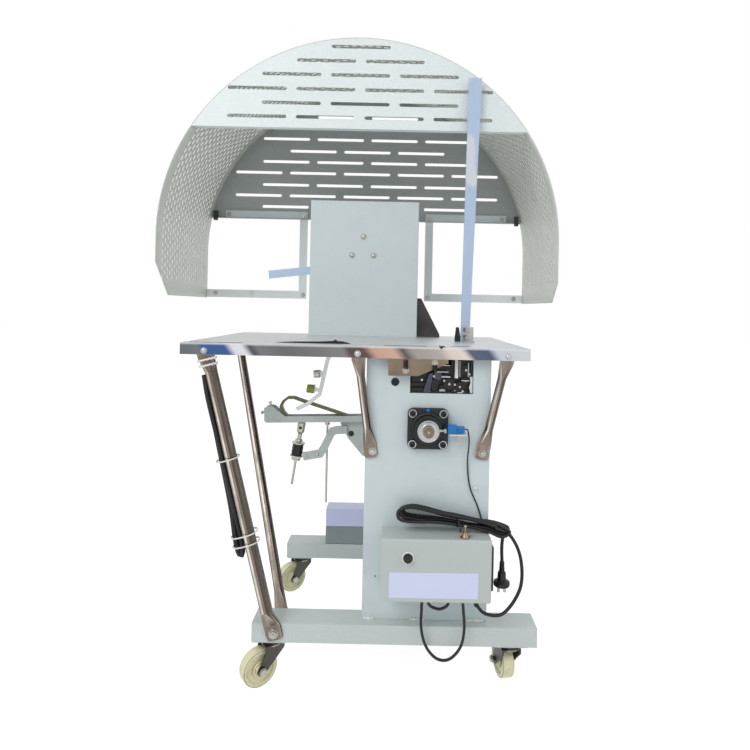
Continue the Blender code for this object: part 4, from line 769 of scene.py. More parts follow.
makeFrameBars()
boltGroup("frameBolts", [
    ("hex", (x, frameFace - 0.0031 * (z > 1), z), toFront, 0.0095, 0.0045, 0.0068)
    for x, z in ((-0.2175, 1.0925), (0.187, 1.0925), (-0.2175, 0.8375), (0.187, 0.8375), (-0.459, 1.0930), (0.420, 1.0930), (-0.4985, 0.8380), (0.4640, 0.8380))
], zincSteel)
boltGroup("frameFeet", [("hex", (-0.385, frameFace, 0.8380), toFront, 0.011, 0.004, 0.0105)], whiteTie)


# dark angle tabs where the frames meet the arched sheet
def makeTabs():
    bm = bmesh.new()
    for x, z in ((-0.500, 1.088), (0.4655, 1.088)):
        addBox(bm, (x - 0.006, frameFace - 0.016, z - 0.016), (x + 0.006, frameFace - 0.004, z + 0.014))
    tabs = newPiece("guardTabs", bm, darkSteel, bevel=0.0008)


makeTabs()
print("bolts and frame bars set")

# shaft bearing: corner pads, bolts, grease plug, and the screw in the collar
bearing = {"x": 0.156, "z": 0.5464, "face": -0.2163, "bolt": 0.0325, "collar": 0.023}


def makeBearingParts():
    s = bearing
    bm = bmesh.new()
    for dx in (-1, 1):
        for dz in (-1, 1):
            centre = (s["x"] + dx * s["bolt"], s["face"], s["z"] + dz * s["bolt"])
            addTurned(bm, centre, toFront, [(0.0100, 0), (0.0096, 0.0026), (0.0088, 0.003), (0, 0.003)], 24)
    ribs = [(0.036, 0), (0.035, 0.003), (0.0335, 0.004), (0.031, 0.0045)]
    addTurned(bm, (s["x"], s["face"], s["z"]), toFront, ribs, 40)
    for dx in (-1, 1):
        matrix = Matrix.Translation((s["x"], s["face"], s["z"])) @ Matrix.Rotation(dx * math.pi / 4, 4, "Y")
        addBox(bm, (-0.040, -0.0035, -0.0035), (-0.028, 0.0, 0.0035), matrix)
        addBox(bm, (0.028, -0.0035, -0.0035), (0.040, 0.0, 0.0035), matrix)
    pads = newPiece("bearingPads", bm, castIron, bevel=0.0007)
    rows = []
    for dx in (-1, 1):
        for dz in (-1, 1):
            rows.append(("socket", (s["x"] + dx * s["bolt"], s["face"] - 0.003, s["z"] + dz * s["bolt"]), toFront, 0.0064, 0.0062, 0))
    boltGroup("bearingBolts", rows, blackPlastic)
    bm = bmesh.new()
    for kind, centre, direction, size, height, washer in rows:
        addTurned(bm, Vector(centre), direction, [(size + 0.0003, -0.0006), (size + 0.0024, -0.0006), (size + 0.0022, 0.0004), (size + 0.0004, 0.0006)], 24)
    rims = newPiece("bearingWashers", bm, brightSteel)
    bm = bmesh.new()
    addDome(bm, (s["x"], s["face"], s["z"] + 0.0385), toFront, 0.0042, 0.0034)
    plug = newPiece("greasePlug", bm, sensorBlue)
    bm = bmesh.new()
    start = Vector((s["x"] + s["collar"] - 0.0005, -0.2376, s["z"] + 0.0012))
    addTurned(bm, start, toRight, [(0, 0), (0.0036, 0), (0.0036, 0.0035), (0.0026, 0.0036), (0.0026, 0.0105), (0, 0.0105)], 16)
    addHex(bm, start + Vector((0.0100, 0, 0)), toRight, 0.0088, 0.0052)
    screw = newPiece("collarScrew", bm, zincSteel)
    # turned groove and centre of the collar's face
    bm = bmesh.new()
    rings = [(0.0225, 0), (0.0225, 0.0006), (0.0206, 0.0010), (0.0196, 0.0004), (0.0150, 0.0004), (0.0142, 0.0010), (0.0126, 0.0010), (0.0122, 0)]
    addTurned(bm, (s["x"], -0.2431, s["z"]), toFront, rings, 48)
    face = newPiece("collarFace", bm, brightSteel)
    bm = bmesh.new()
    addTurned(bm, (s["x"], -0.2531, s["z"]), toFront, [(0.0110, -0.0004), (0.0112, 0.0001), (0.0100, 0.0005), (0.0030, 0.0005), (0.0022, -0.0002), (0, -0.0014)], 32)
    end = newPiece("shaftEnd", bm, brownSteel)


makeBearingParts()

# sensor: clamp line, lamp, and its bracket's screw
sensor = {"x0": 0.1961, "x1": 0.2309, "z0": 0.5421, "z1": 0.5599, "front": -0.2442, "back": -0.2264}


def makeSensorParts():
    s = sensor
    bm = bmesh.new()
    addBox(bm, (s["x0"], s["front"], s["z0"]), (s["x0"] + 0.0195, s["back"], s["z1"]))
    addBox(bm, (s["x0"] + 0.0193, s["front"] + 0.0014, s["z0"] + 0.0024), (s["x1"], s["back"] - 0.0014, s["z1"] - 0.0030))
    addTurned(bm, (s["x1"] - 0.0075, s["front"] + 0.0014, (s["z0"] + s["z1"]) / 2), toFront, [(0.0034, 0), (0.0032, 0.0010), (0.0020, 0.0012), (0, 0.0012)], 20)
    body = newPiece("sensorBody", bm, sensorBlue, bevel=0.0009)
    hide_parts("proximity_sensor")
    boltGroup("sensorScrew", [("hex", (0.2227, -0.2086, 0.5290), toFront, 0.0078, 0.004, 0.0062)], zincSteel)


makeSensorParts()
print("bearing and sensor detailed")

# leads and the mains cord
cordSizes = {
    "mains": 0.0035, "lead": 0.0030, "sensorLead": 0.0015, "boxLeft": 0.063, "boxRight": 0.288, "boxTop": 0.334, "boxBottom": 0.206,
    "boxBack": -0.2053, "floor": 0.2051, "turns": 4, "hankTilt": 8.0,
}


def declareLead(name, points, radius, node, finish):
    made = wirePiece(name, points, radius, finish)
    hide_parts(node)
    return made


def makeLeads():
    s = cordSizes
    y, floor = s["boxBack"] - 0.038, s["floor"]
    start, end = s["boxLeft"] + 0.170, s["boxLeft"] + 0.087
    route = [(start, y, floor), (start + 0.003, y, floor - 0.030), (start + 0.005, y - 0.002, floor - 0.064)]
    route += [(start - 0.001, y - 0.003, floor - 0.098), (start - 0.018, y - 0.004, floor - 0.121)]
    route += [(start - 0.037, y - 0.005, floor - 0.128), (start - 0.057, y - 0.004, floor - 0.121)]
    route += [(end + 0.008, y - 0.003, floor - 0.098), (end - 0.001, y - 0.002, floor - 0.064)]
    route += [(end - 0.001, y, floor - 0.030), (end, y, floor)]
    declareLead("motorLead", flowPoints(route, 60), s["lead"], "motor_lead", blackRubber)
    start, end = s["boxLeft"] + 0.099, s["boxLeft"] + 0.142
    route = [(start, y, floor), (start + 0.003, y, floor - 0.017), (start + 0.023, y, floor - 0.025)]
    route += [(end - 0.003, y, floor - 0.017), (end, y, floor)]
    declareLead("shortLead", flowPoints(route, 30), s["lead"], "short_lead", blackRubber)
    x, sensorY, z = 0.156 + 0.040 + 0.035 + 0.0003, -0.2353, 0.5510
    wall = -0.205 - s["sensorLead"] - 0.0007
    fall = z - s["boxTop"] - 0.0006
    route = [(x, sensorY, z), (x + 0.007, sensorY + 0.001, z - 0.002), (x + 0.0115, sensorY + 0.010, z - 0.135 * fall)]
    route += [(x + 0.011, wall - 0.003, z - 0.353 * fall), (x + 0.017, wall, z - 0.585 * fall)]
    route += [(x + 0.033, wall, z - 0.764 * fall), (x + 0.042, wall, z - 0.885 * fall), (x + 0.043, wall, z - fall)]
    declareLead("sensorLead", flowPoints(route, 64), s["sensorLead"], "sensor_lead", blackRubber)
    # glands under the box, where the leads go in
    bm = bmesh.new()
    gland = [(0.0052, 0), (0.0052, 0.003), (0.0046, 0.0036), (0.0044, 0.010), (0.0034, 0.012), (0.0031, 0.012)]
    for gx in (0.162, 0.205, 0.233, 0.150):
        addTurned(bm, (gx, y, s["floor"] + 0.0008), (0, 0, -1), [(0, 0), *gland], 18)
    glands = newPiece("leadGlands", bm, blackRubber)


def hankRoute():
    # four long turns in a loose flat bundle: they open at the left and close up towards the right
    s = cordSizes
    tilt = math.radians(s["hankTilt"])
    along, rise = Vector((math.cos(tilt), 0, -math.sin(tilt))), Vector((math.sin(tilt), 0, math.cos(tilt)))
    right = Vector((s["boxRight"], -0.2265, s["boxTop"] + 0.0003)) + along * 0.0375 + rise * 0.0148
    points = []
    shape = [(0.004, -0.0060), (-0.030, 0.0050), (-0.075, 0.0085), (-0.115, 0.0095), (-0.150, 0.0110), (-0.185, 0.0145), (-0.214, 0.0150)]
    left = [(-0.2320, 0.0050), (-0.2300, -0.0095), (-0.214, -0.0140)]
    under = [(-0.185, -0.0125), (-0.150, -0.0085), (-0.115, -0.0070), (-0.075, -0.0070), (-0.040, -0.0085), (-0.012, -0.0150)]
    for turn in range(s["turns"]):
        layer = (turn - (s["turns"] - 1) / 2) * 0.0072
        tight = 1 - 0.10 * turn
        for reach, height in (shape if turn else shape[1:]) + left + under:
            squeeze = 0.62 + 0.38 * min(1.0, abs(reach + 0.075) / 0.06)
            wobble = 0.0016 * math.sin(9 * turn + 34 * reach)
            slip = along * (reach * (1 - 0.018 * turn)) + rise * (height * tight + wobble)
            points.append(right + slip + Vector((0, layer * squeeze + 0.0008 * math.sin(5 * turn + 60 * reach), 0)))
    return points


def makeMainsCord():
    s = cordSizes
    tilt = math.radians(s["hankTilt"])
    along, rise = Vector((math.cos(tilt), 0, -math.sin(tilt))), Vector((math.sin(tilt), 0, math.cos(tilt)))
    edge = Vector((s["boxRight"], -0.2265, s["boxTop"] + 0.0003))
    right = edge + along * 0.0375 + rise * 0.015
    ex, ey, f = 0.262, -0.2393, s["floor"]
    near = edge + along * 0.0385 + rise * 0.015
    route = [(ex, ey, f), (ex + 0.001, ey - 0.002, f - 0.015), (ex + 0.020, ey - 0.008, f - 0.031), (ex + 0.056, ey - 0.012, f - 0.026)]
    route += [(ex + 0.0885, ey - 0.012, f + 0.026), (ex + 0.0895, ey - 0.004, f + 0.085), (near.x + 0.004, near.y - 0.002, near.z - 0.014)]
    turns = hankRoute()
    first = turns[0]
    route += [first + along * 0.004 - rise * 0.004]
    last = turns[-1]
    tail = [last + along * 0.012 - rise * 0.0005, (0.3205, -0.2272, 0.3345), (0.3165, -0.2272, 0.3180), (0.3155, -0.2278, 0.2980), (0.3165, -0.2285, 0.2749)]
    points = flowPoints([*route, *turns, *tail], 900)
    cord = wirePiece("mainsLead", points, s["mains"], blackRubber, resolution=3)
    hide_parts("mains_cord", "mains_cord_hank", "mains_cord_tail")
    # moulded plug with its ribbed neck, flat flange and two flat pins
    bm = bmesh.new()
    plug = Vector((0.3165, -0.2285, 0.2745))
    profile = [(0, 0), (0.0046, 0), (0.0050, -0.0006)]
    for ring in range(5):
        level = -0.0012 - ring * 0.0038
        profile += [(0.0050 + ring * 0.0002, level), (0.0050 + ring * 0.0002, level - 0.0022), (0.0042 + ring * 0.0002, level - 0.0026), (0.0042 + ring * 0.0002, level - 0.0036)]
    profile += [(0.0078, -0.0215), (0.0086, -0.0240), (0.0090, -0.0370), (0.0110, -0.0390), (0.0164, -0.0412), (0.0172, -0.0440), (0.0165, -0.0488), (0.0150, -0.0500), (0, -0.0500)]
    addTurned(bm, plug, up, profile, 28)
    body = newPiece("plugBody", bm, blackRubber)
    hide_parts("mains_plug")
    bm = bmesh.new()
    for side in (-1, 1):
        matrix = Matrix.Translation(plug + Vector((0.0063 * side, 0, -0.0499))) @ Matrix.Rotation(-0.42 * side, 4, "Z")
        addBox(bm, (-0.0032, -0.0008, -0.0141), (0.0032, 0.0008, 0.0010), matrix)
    pins = newPiece("plugPins", bm, zincSteel, bevel=0.0003)
    print("mains cord is", round(lengthOf(points), 3), "m")
    # tapered strain relief with ribs, under the box
    bm = bmesh.new()
    profile = [(0, -0.0006), (0.0078, -0.0006), (0.0078, 0.0024), (0.0064, 0.0030), (0.0062, 0.0052)]
    for ring in range(4):
        level, radius = 0.0062 + ring * 0.0030, 0.0062 - ring * 0.0004
        profile += [(radius, level), (radius, level + 0.0014), (radius - 0.0009, level + 0.0017), (radius - 0.0009, level + 0.0027)]
    profile += [(0.0041, 0.0196), (0.0037, 0.0206), (0, 0.0206)]
    addTurned(bm, (ex, ey, f + 0.0006), (0.02, -0.03, -1), profile, 24)
    relief = newPiece("cordRelief", bm, blackRubber)
    # tie round the folded turns
    bm = bmesh.new()
    centre = right - along * 0.1060 - rise * 0.0010
    ring = []
    for step in range(28):
        turn = 2 * math.pi * step / 28
        ring.append((0.0172 * math.cos(turn), 0.0118 * math.sin(turn)))
    for inner, width in ((ring, 0.0026),):
        rows = []
        for shift in (-width / 2, width / 2):
            for scale in (1.0, 1.07):
                rows.append([bm.verts.new(centre + along * shift + Vector((0, u * scale, 0)) + rise * (v * scale)) for u, v in inner])
        for a, b in ((0, 1), (1, 3), (3, 2), (2, 0)):
            for i in range(28):
                j = (i + 1) % 28
                bm.faces.new((rows[a][i], rows[a][j], rows[b][j], rows[b][i]))
    addBox(bm, centre + Vector((-0.0022, -0.0215, 0.0030)), centre + Vector((0.0022, -0.0178, 0.0075)))
    tail = [centre + Vector((0, -0.0198, 0.0040)), centre + Vector((0.0020, -0.0225, -0.0060)), centre + Vector((0.0035, -0.0220, -0.0170))]
    for a, b in zip(tail, tail[1:]):
        corners = [a + Vector((-0.0012, 0, 0)), a + Vector((0.0012, 0, 0)), b + Vector((0.0012, 0, 0)), b + Vector((-0.0012, 0, 0))]
        back = [corner + Vector((0, 0.0008, 0)) for corner in corners]
        faces = [bm.verts.new(corner) for corner in corners + back]
        for quad in ((0, 1, 2, 3), (4, 5, 6, 7), (0, 1, 5, 4), (1, 2, 6, 5), (2, 3, 7, 6), (3, 0, 4, 7)):
            bm.faces.new([faces[index] for index in quad])
    newPiece("hankTie", bm, blackPlastic)


makeLeads()
makeMainsCord()
print("leads and mains cord laid")
# sheet column's closing plate
bm = bmesh.new()
addBox(bm, (-0.1568, 0.1732, 1.0955), (0.1404, 0.4145, 1.0982))
newPiece("columnCap", bm, columnPaint)


def leverPoint(reach, rise, y):
    tilt = math.radians(1.6)
    return Vector((0.0115 - math.cos(tilt) * reach - math.sin(tilt) * rise, y, 0.5375 - math.sin(tilt) * reach + math.cos(tilt) * rise))


# tension linkage: end screws, fork clip, nuts and rubber buffer, link screws, knob
linkSizes = {"plane": -0.100, "front": -0.1103, "tilt": math.radians(8.2), "foot": (0.1405, -0.0003)}


def makeLinkParts():
    s = linkSizes
    bolts = bmesh.new()
    addTurned(bolts, leverPoint(0.2250, 0.0240, s["plane"]), (-1, 0, -0.35), [(0.0022, 0), (0.0022, 0.008), (0, 0.008)], 10)
    addHex(bolts, leverPoint(0.2310, 0.0215, s["plane"]), (-1, 0, -0.35), 0.0075, 0.0045)
    addTurned(bolts, leverPoint(0.2120, 0.0360, s["plane"]), (-0.3, 0, 1), [(0.0024, 0), (0.0024, 0.010), (0, 0.010)], 10)
    addHex(bolts, leverPoint(0.2130, 0.0420, s["plane"]), (-0.3, 0, 1), 0.0075, 0.0050)
    for reach, rise in ((0.1290, -0.0790), (0.1040, -0.0745)):
        addDome(bolts, leverPoint(reach, rise, s["front"]), toFront, 0.0034, 0.0022)
    made = newPiece("linkBolts", bolts, zincSteel)
    axis = Vector((-math.sin(s["tilt"]), 0, -math.cos(s["tilt"])))
    foot = leverPoint(*s["foot"], s["plane"])
    clip = bmesh.new()
    addTurned(clip, foot, axis, [(0, 0.0006), (0.0040, 0.0006), (0.0086, 0.0024), (0.0092, 0.0040), (0.0092, 0.0240), (0.0062, 0.0275), (0.0050, 0.0285), (0.0050, 0.0500), (0, 0.0500)], 24)
    for level in (0.0490, 0.0790):
        addTurned(clip, foot + axis * level, axis, [(0, 0), (0.0150, 0), (0.0153, 0.0006), (0.0153, 0.0018), (0.0150, 0.0024), (0, 0.0024)], 28)
    for level in (0.0416, 0.0818, 0.0866):
        addHex(clip, foot + axis * level, axis, 0.0185 if level > 0.05 else 0.0150, 0.0048, turn=level * 40)
    addTurned(clip, foot + axis * 0.0900, axis, [(0, 0), (0.0029, 0), (0.0029, 0.0560), (0.0022, 0.0578), (0, 0.0578)], 14)
    dark = bmesh.new()
    addTurned(dark, foot + axis * 0.0514, axis, [(0, 0), (0.0124, 0), (0.0130, 0.0030), (0.0122, 0.0060), (0.0131, 0.0100), (0.0122, 0.0138), (0.0131, 0.0180), (0.0124, 0.0230), (0.0118, 0.0276), (0, 0.0276)], 28)
    addTurned(dark, foot + axis * 0.0135 + Vector((0, -0.0080, 0)), toFront, [(0, 0), (0.0034, 0), (0.0034, 0.0016), (0, 0.0016)], 18)
    addTurned(dark, leverPoint(0.0265, -0.029, s["plane"] - 0.0031), toFront, [(0, 0), (0.0066, 0), (0.0066, 0.0004), (0, 0.0004)], 24)
    buffer = newPiece("rubberBuffer", dark, blackRubber)
    nuts = newPiece("adjusterNuts", clip, zincSteel)
    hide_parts("spring_adjuster")
    # knob on the hook's lower arm, and the roller above it
    bm = bmesh.new()
    centre = leverPoint(0.1145, 0.0785, -0.1260)
    addTurned(bm, centre + Vector((-0.0098, 0, 0.0012)), (1, 0, -0.12), [(0, 0), (0.0086, 0), (0.0096, 0.0012), (0.0096, 0.0150), (0.0086, 0.0162), (0, 0.0162)], 16)
    newPiece("hookKnob", bm, knobGreen, angle=20)
    bm = bmesh.new()
    centre = leverPoint(0.0985, 0.1120, -0.1255)
    addTurned(bm, centre + Vector((-0.0102, 0, 0)), (1, 0, 0.1), [(0, 0), (0.0080, 0), (0.0088, 0.0010), (0.0088, 0.0125), (0.0080, 0.0136), (0, 0.0136)], 24)
    newPiece("hookRoller", bm, zincSteel)


makeLinkParts()
print("linkage parts made")

# knotting mechanism seen through the window, and the spring bolts of the film guard
mechanismSizes = {"front": -0.1995, "left": 0.1185, "right": 0.2505, "low": 0.6205, "high": 0.7170}


def toothed(x, z, radius, teeth):
    outline = []
    for step in range(teeth * 4):
        reach = radius if step % 4 in (0, 1) else radius * 0.84
        turn = 2 * math.pi * (step + 0.3) / (teeth * 4)
        outline.append((x + reach * math.cos(turn), z + reach * math.sin(turn)))
    return outline


def makeMechanism():
    s = mechanismSizes
    y = s["front"]
    black, silver, blade = bmesh.new(), bmesh.new(), bmesh.new()
    for x, z, radius, teeth, depth in (
        (0.2010, 0.6400, 0.0135, 15, 0.0), (0.2240, 0.6340, 0.0110, 13, 0.004), (0.1870, 0.6290, 0.0085, 11, 0.006),
        (0.2360, 0.6470, 0.0080, 11, 0.002), (0.2370, 0.6700, 0.0115, 14, 0.005), (0.1975, 0.6660, 0.0090, 12, 0.007), (0.2130, 0.6265, 0.0060, 9, 0.001),
    ):
        addPrism(black, toothed(x, z, radius, teeth), "XZ", y + depth, y + depth + 0.006)
        addTurned(black, (x, y + depth, z), toFront, [(0, -0.001), (radius * 0.42, -0.001), (radius * 0.42, 0.0012), (0, 0.0012)], 14)
        addTurned(silver, (x, y + depth - 0.0012, z), toFront, [(0, 0), (radius * 0.2, 0), (radius * 0.2, 0.001), (0, 0.001)], 10)
    for low, high in (
        ((0.1190, y + 0.006, 0.6210), (0.1460, y + 0.016, 0.6300)), ((0.1190, y + 0.010, 0.6335), (0.1500, y + 0.016, 0.6400)),
        ((0.1640, y + 0.008, 0.6210), (0.1760, y + 0.016, 0.6480)), ((0.1640, y + 0.011, 0.6700), (0.2060, y + 0.016, 0.6780)),
        ((0.2060, y + 0.009, 0.6500), (0.2110, y + 0.016, 0.6960)), ((0.2260, y + 0.007, 0.6520), (0.2310, y + 0.016, 0.6960)),
        ((0.1840, y + 0.012, 0.6520), (0.2480, y + 0.016, 0.6580)),
    ):
        addBox(black, low, high)
    for x, z, length, radius in ((0.1740, 0.6660, 0.024, 0.0020), (0.1840, 0.6555, 0.019, 0.0030), (0.1800, 0.6265, 0.012, 0.0032), (0.2270, 0.6480, 0.017, 0.0017), (0.1800, 0.6800, 0.022, 0.0016), (0.2190, 0.6215, 0.010, 0.0026)):
        addTurned(silver, (x, y + 0.001, z), toRight, [(0, 0), (radius, 0), (radius, length), (0, length)], 14)
    for x, z, length in ((0.2235, 0.6560, 0.034), (0.2420, 0.6560, 0.030)):
        addTurned(silver, (x, y + 0.003, z), up, [(0, 0), (0.0014, 0), (0.0014, length), (0, length)], 10)
    for x, z in ((0.1680, 0.6560), (0.1900, 0.6470), (0.2130, 0.6390), (0.2300, 0.6250), (0.2440, 0.6620), (0.1420, 0.6480)):
        addHex(silver, (x, y + 0.002, z), toFront, 0.0050, 0.0022, turn=x * 90)
    addPrism(blade, [(0.1450, 0.6210), (0.1600, 0.6210), (0.1660, 0.6640), (0.1570, 0.6600)], "XZ", y + 0.001, y + 0.003)
    addPrism(blade, [(0.1680, 0.6500), (0.1830, 0.6480), (0.1850, 0.6620), (0.1700, 0.6660)], "XZ", y + 0.003, y + 0.006)
    light = bmesh.new()
    addBox(light, (0.2125, y - 0.001, 0.6530), (0.2195, y + 0.001, 0.6960))
    addPrism(light, [(0.2440, 0.6330), (0.2470, 0.6210), (0.2512, 0.6210), (0.2512, 0.6570), (0.2450, 0.6560), (0.2470, 0.6450)], "XZ", y + 0.001, y + 0.003)
    newPiece("mechanismGears", black, blackPlastic)
    newPiece("mechanismRods", silver, brightSteel)
    newPiece("mechanismBlades", blade, slateSteel)
    newPiece("nylonGuides", light, milkWhite)
    bolts, coils = bmesh.new(), []
    for x, low, high in ((0.1062, 0.6745, 0.6925), (0.1672, 0.6705, 0.6830)):
        points = []
        for step in range(73):
            turn = 2 * math.pi * step / 12
            points.append((x + 0.0042 * math.cos(turn), -0.2330 + 0.0042 * math.sin(turn), low + (high - low) * step / 72))
        coils.append(points)
    addHex(bolts, (0.1062, -0.2281, 0.6706), toFront, 0.0085, 0.0050, 0.0072, turn=0.4)
    addHex(bolts, (0.1672, -0.2281, 0.6872), toFront, 0.0080, 0.0050, 0.0068, turn=0.2)
    newPiece("filmGuardBolts", bolts, zincSteel)
    for number, points in enumerate(coils):
        wirePiece("filmGuardSpring" + str(number + 1), points, 0.0010, blackPlastic, resolution=2)


makeMechanism()
print("window mechanism made")

# casters: tread seam, hub cap, axle nuts and ball race, each on its own body
casterSizes = {"radius": 0.038, "trail": 0.030, "wheelHalf": 0.0125, "forkOuter": 0.0210}
casterStems = {"front_left": (-0.168, -0.2, 217), "front_right": (0.33935, -0.2, 100), "rear_left": (-0.170, 0.2, 215), "rear_right": (0.29986, 0.2, 80)}


def makeCaster(corner):
    s = casterSizes
    x, y, heading = casterStems[corner]
    turn = math.radians(heading)
    ahead, axle = Vector((math.cos(turn), math.sin(turn), 0)), Vector((-math.sin(turn), math.cos(turn), 0))
    hub = Vector((x, y, s["radius"])) + ahead * s["trail"]
    letter = corner.title().replace("_", "")
    seam, cap, bolts, race = bmesh.new(), bmesh.new(), bmesh.new(), bmesh.new()
    for side in (1, -1):
        face = hub + axle * (side * (s["wheelHalf"] - 0.0013))
        radius = s["radius"]
        addTurned(seam, face, axle * side, [(radius - 0.0030, -0.001), (radius - 0.0014, 0.0010), (radius - 0.0036, 0.0013), (radius - 0.0046, -0.0004)], 40)
        flat = hub + axle * (side * (s["wheelHalf"] - 0.0001))
        addTurned(cap, flat, axle * side, [(0.0165, -0.001), (0.0165, 0.0010), (0.0150, 0.0018), (0.0135, 0.0018), (0.0125, 0.0004), (0.0125, -0.001)], 32)
        addHex(bolts, hub + axle * (side * (s["forkOuter"] + 0.0035)), axle * side, 0.0120, 0.0036, 0.0080, turn=0.3 * side)
    addTurned(race, (x, y, 0.0808), up, [(0.0200, 0), (0.0226, 0.0006), (0.0232, 0.0022), (0.0216, 0.0034), (0.0204, 0.0040)], 32)
    newPiece("treadSeam" + letter, seam, seamBrown, body="wheel_" + corner)
    newPiece("hubRing" + letter, cap, creamNylon, body="wheel_" + corner)
    newPiece("axleNuts" + letter, bolts, zincSteel, body="fork_" + corner)
    newPiece("ballRace" + letter, race, zincSteel, body="fork_" + corner)


for corner in casterStems:
    makeCaster(corner)
print("caster details made")

# control box: bare sheet, button bezel, wing screw, a dark dot painted as a screw hole's shade, cable clip and two
# bolts on the post; weld beads at the cabinet's foot
boxSizes = {"front": -0.2703, "left": 0.063, "right": 0.288, "bottom": 0.206, "top": 0.334}


def makeBoxParts():
    s = boxSizes
    bm = bmesh.new()
    addPrism(bm, [(0.0803, 0.2150), (0.2612, 0.2158), (0.2616, 0.2680), (0.0800, 0.2668)], "XZ", s["front"] - 0.0004, s["front"])
    newPiece("bareSheet", bm, sheetWhite)
    bm = bmesh.new()
    addTurned(bm, (0.1180, s["front"] + 0.0002, 0.2960), toFront, [(0.0100, 0), (0.0124, 0), (0.0124, 0.0010), (0.0116, 0.0016), (0.0100, 0.0016)], 32)
    newPiece("buttonBezel", bm, milkWhite)
    bm = bmesh.new()
    place = Vector((0.2345, -0.2560, s["top"] + 0.0001))
    addTurned(bm, place, up, [(0, 0), (0.0098, 0), (0.0100, 0.0012), (0.0088, 0.0020), (0.0050, 0.0085), (0.0044, 0.0120), (0.0026, 0.0124), (0.0026, 0.0200), (0.0034, 0.0212), (0.0034, 0.0240), (0.0022, 0.0256), (0, 0.0258)], 24)
    for side in (1, -1):
        wing = [(0.0020 * side, 0.0020), (0.0105 * side, 0.0060), (0.0118 * side, 0.0105), (0.0085 * side, 0.0110), (0.0030 * side, 0.0070)]
        addPrism(bm, [(place.x + u, place.z + v) for u, v in wing], "XZ", place.y - 0.0012, place.y + 0.0012)
    screw = newPiece("wingScrew", bm, brassScrew)
    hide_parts("lid_screw")
    # black disc painted as the shade inside a screw hole in the wall
    bm = bmesh.new()
    addTurned(bm, (0.0505, -0.2052, 0.2274), toFront, [(0, 0), (0.0017, 0), (0.0015, 0.0005), (0, 0.0006)], 12)
    newPiece("screwHoleShade", bm, blackPlastic)
    bm = bmesh.new()
    for start, count in ((0.1300, 5), (0.2500, 6), (0.0300, 4)):
        for index in range(count):
            x = start + index * 0.0058 + rng.uniform(-0.0006, 0.0006)
            addDome(bm, (x, -0.2056, 0.1372), (rng.uniform(-0.2, 0.2), -0.75, 0.5), rng.uniform(0.0036, 0.0050), 0.0030)
    newPiece("weldBeads", bm, weldSteel)
    bm = bmesh.new()
    addBox(bm, (0.2565, -0.2105, 0.4185), (0.2645, -0.2052, 0.4235))
    newPiece("cableClip", bm, whiteTie, bevel=0.0008)
    bolts = [("hex", (x, wallFace + 0.0000 - 0.0001, z), toFront, 0.0075, 0.0032, 0.0) for x, z in ()]
    bolts += [("hex", (0.2607, -0.0335, z), toFront, 0.0085, 0.0042, 0.0068) for z in (0.7310, 0.7490)]
    boltGroup("postBolts", bolts, zincSteel)


makeBoxParts()
print("control box parts made")

# spare belt: a folded loop tied to the leg strut
beltSizes = {"top": (-0.317, 0.7035), "foot": (-0.158, 0.116), "radius": 0.0060, "y": -0.2147, "lean": -0.0285}


def makeBelt():
    s = beltSizes
    top, foot = Vector(s["top"]), Vector(s["foot"])
    along = (foot - top).normalized()
    aside = Vector((-along.y, along.x)) * -1
    aside = aside if aside.x < 0 else -aside

    def spot(reach, gap, depth=0.0):
        place = top + along * reach + aside * (0.0193 + gap)
        return (place.x, s["y"] + s["lean"] * reach + depth, place.y)

    first = [(0.050, -0.002, 0.004), (0.10, 0.0, 0), (0.18, 0.0, 0), (0.26, 0.0006, 0), (0.35, 0.0003, 0), (0.405, 0.0012, 0)]
    fold = [(0.428, 0.0040, -0.001), (0.436, 0.0085, 0), (0.428, 0.0130, 0.001)]
    second = [(0.400, 0.0125, 0), (0.34, 0.0080, 0.004), (0.27, 0.0058, 0.007), (0.20, 0.0044, 0.009), (0.13, 0.0020, 0.011), (0.075, 0.0005, 0.012)]
    points = flowPoints([spot(*item) for item in [*first, *fold, *second]], 110)
    belt = wirePiece("beltLoop", points, s["radius"], blackRubber)
    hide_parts("spare_belt")
    ties = bmesh.new()
    for reach, reachLow, spread in ((0.232, 0.0, 0.0060), (0.392, 0.0, 0.0130), (0.412, 0.0, 0.0140)):
        middle = top + along * reach + aside * (0.0035 + spread / 2)
        half, deep = 0.0200 + spread / 2, 0.0212
        ring = []
        for step in range(36):
            turn = 2 * math.pi * step / 36
            u = half * math.copysign(abs(math.cos(turn)) ** 0.75, math.cos(turn))
            v = deep * math.copysign(abs(math.sin(turn)) ** 0.75, math.sin(turn))
            ring.append((u, v))
        rows = []
        for shift in (-0.0013, 0.0013):
            for scale in (1.0, 1.06):
                places = [middle + aside * (u * scale) + along * shift for u, v in ring]
                rows.append([bm_vert(ties, place, -0.2235 + s["lean"] * 0.5 * reach + v * scale) for place, (u, v) in zip(places, ring)])
        for a, b in ((0, 1), (1, 3), (3, 2), (2, 0)):
            for i in range(36):
                j = (i + 1) % 36
                ties.faces.new((rows[a][i], rows[a][j], rows[b][j], rows[b][i]))
    newPiece("beltTies", ties, whiteTie)


def bm_vert(bm, place, depth):
    return bm.verts.new((place.x, depth, place.y))


makeBelt()
print("spare belt tied on")

# band along the table's front with painted reflections and a painted highlight, and the torn dark film that stands up
# at the slot and at the edge
bandSizes = {"half": 0.3672, "low": 0.6953, "high": 0.7195, "front": -0.2304, "back": -0.2301}


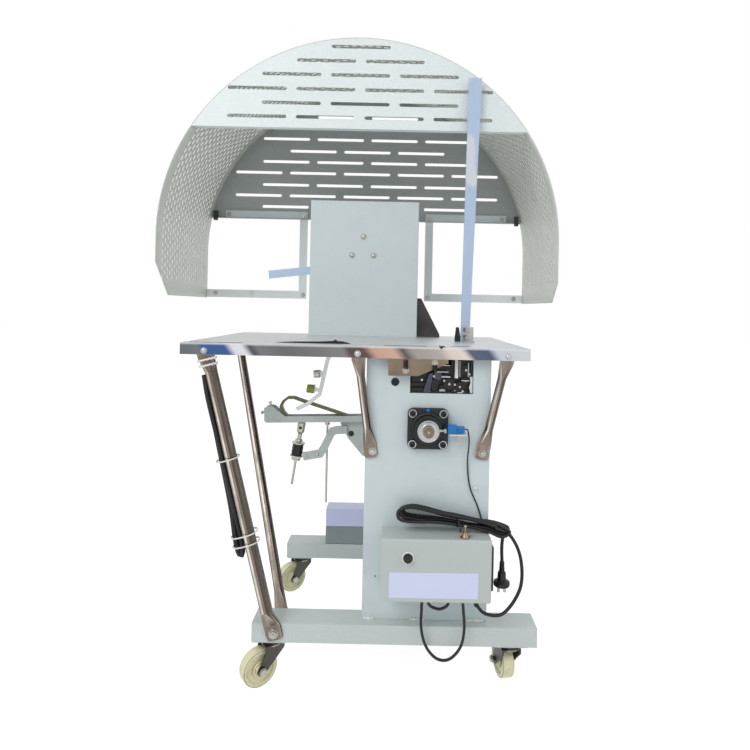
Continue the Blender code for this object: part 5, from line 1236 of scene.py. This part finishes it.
def makeTableFilm():
    s = bandSizes
    bm = bmesh.new()
    addBox(bm, (-s["half"], s["front"], s["low"]), (s["half"], s["back"], s["high"]))
    # the band's skin carries the painted reflections and the painted highlight
    newPiece("bandSkin", bm, bandPaintedReflection)
    torn = bmesh.new()
    crest = [(-0.181, 0.7206), (-0.165, 0.7222), (-0.140, 0.7236), (-0.110, 0.7240), (-0.085, 0.7246), (-0.064, 0.7258), (-0.052, 0.7266), (-0.046, 0.7300), (-0.042, 0.7262), (-0.032, 0.7262), (-0.022, 0.7240), (-0.012, 0.7206)]
    addPrism(torn, [*crest, (-0.040, 0.7203), (-0.120, 0.7203)], "XZ", -0.1838, -0.1830)
    addPrism(torn, [(0.1745, 0.7206), (0.1768, 0.7262), (0.1782, 0.7226), (0.1835, 0.7240), (0.1905, 0.7212), (0.1840, 0.7206), (0.1796, 0.7160), (0.1778, 0.7196)], "XZ", -0.2312, -0.2306)
    for start, end, y in ((0.205, 0.245, -0.1840), (0.060, 0.150, -0.2050), (-0.350, -0.240, -0.2180)):
        ragged = [(start + (end - start) * step / 9, y + rng.uniform(0.0005, 0.0060)) for step in range(10)]
        addPrism(torn, [*ragged, (end, y), (start, y)], "XY", 0.7202, 0.7206)
    newPiece("tornFilm", torn, blackPlastic)
    # the film tied round the leg strut's top
    bm = bmesh.new()
    middle = Vector((-0.3080, -0.2262, 0.6735))
    tilt = Matrix.Translation(middle) @ Matrix.Rotation(math.radians(-15), 4, "Y")
    for level, wide, deep in ((0.0, 0.0190, 0.0130), (0.0120, 0.0200, 0.0105)):
        ring = []
        for scale, rise in ((1.0, -0.0020), (1.07, -0.0020), (1.07, 0.0020), (1.0, 0.0020)):
            ring.append([bm.verts.new(tilt @ Vector((wide * scale * math.cos(t * math.pi / 16), deep * scale * math.sin(t * math.pi / 16), level + rise + 0.0012 * math.sin(3 * t)))) for t in range(32)])
        for a, b in ((0, 1), (1, 2), (2, 3), (3, 0)):
            for i in range(32):
                j = (i + 1) % 32
                bm.faces.new((ring[a][i], ring[a][j], ring[b][j], ring[b][i]))
    newPiece("strutTopTies", bm, whiteTie)


makeTableFilm()
print("table film laid")
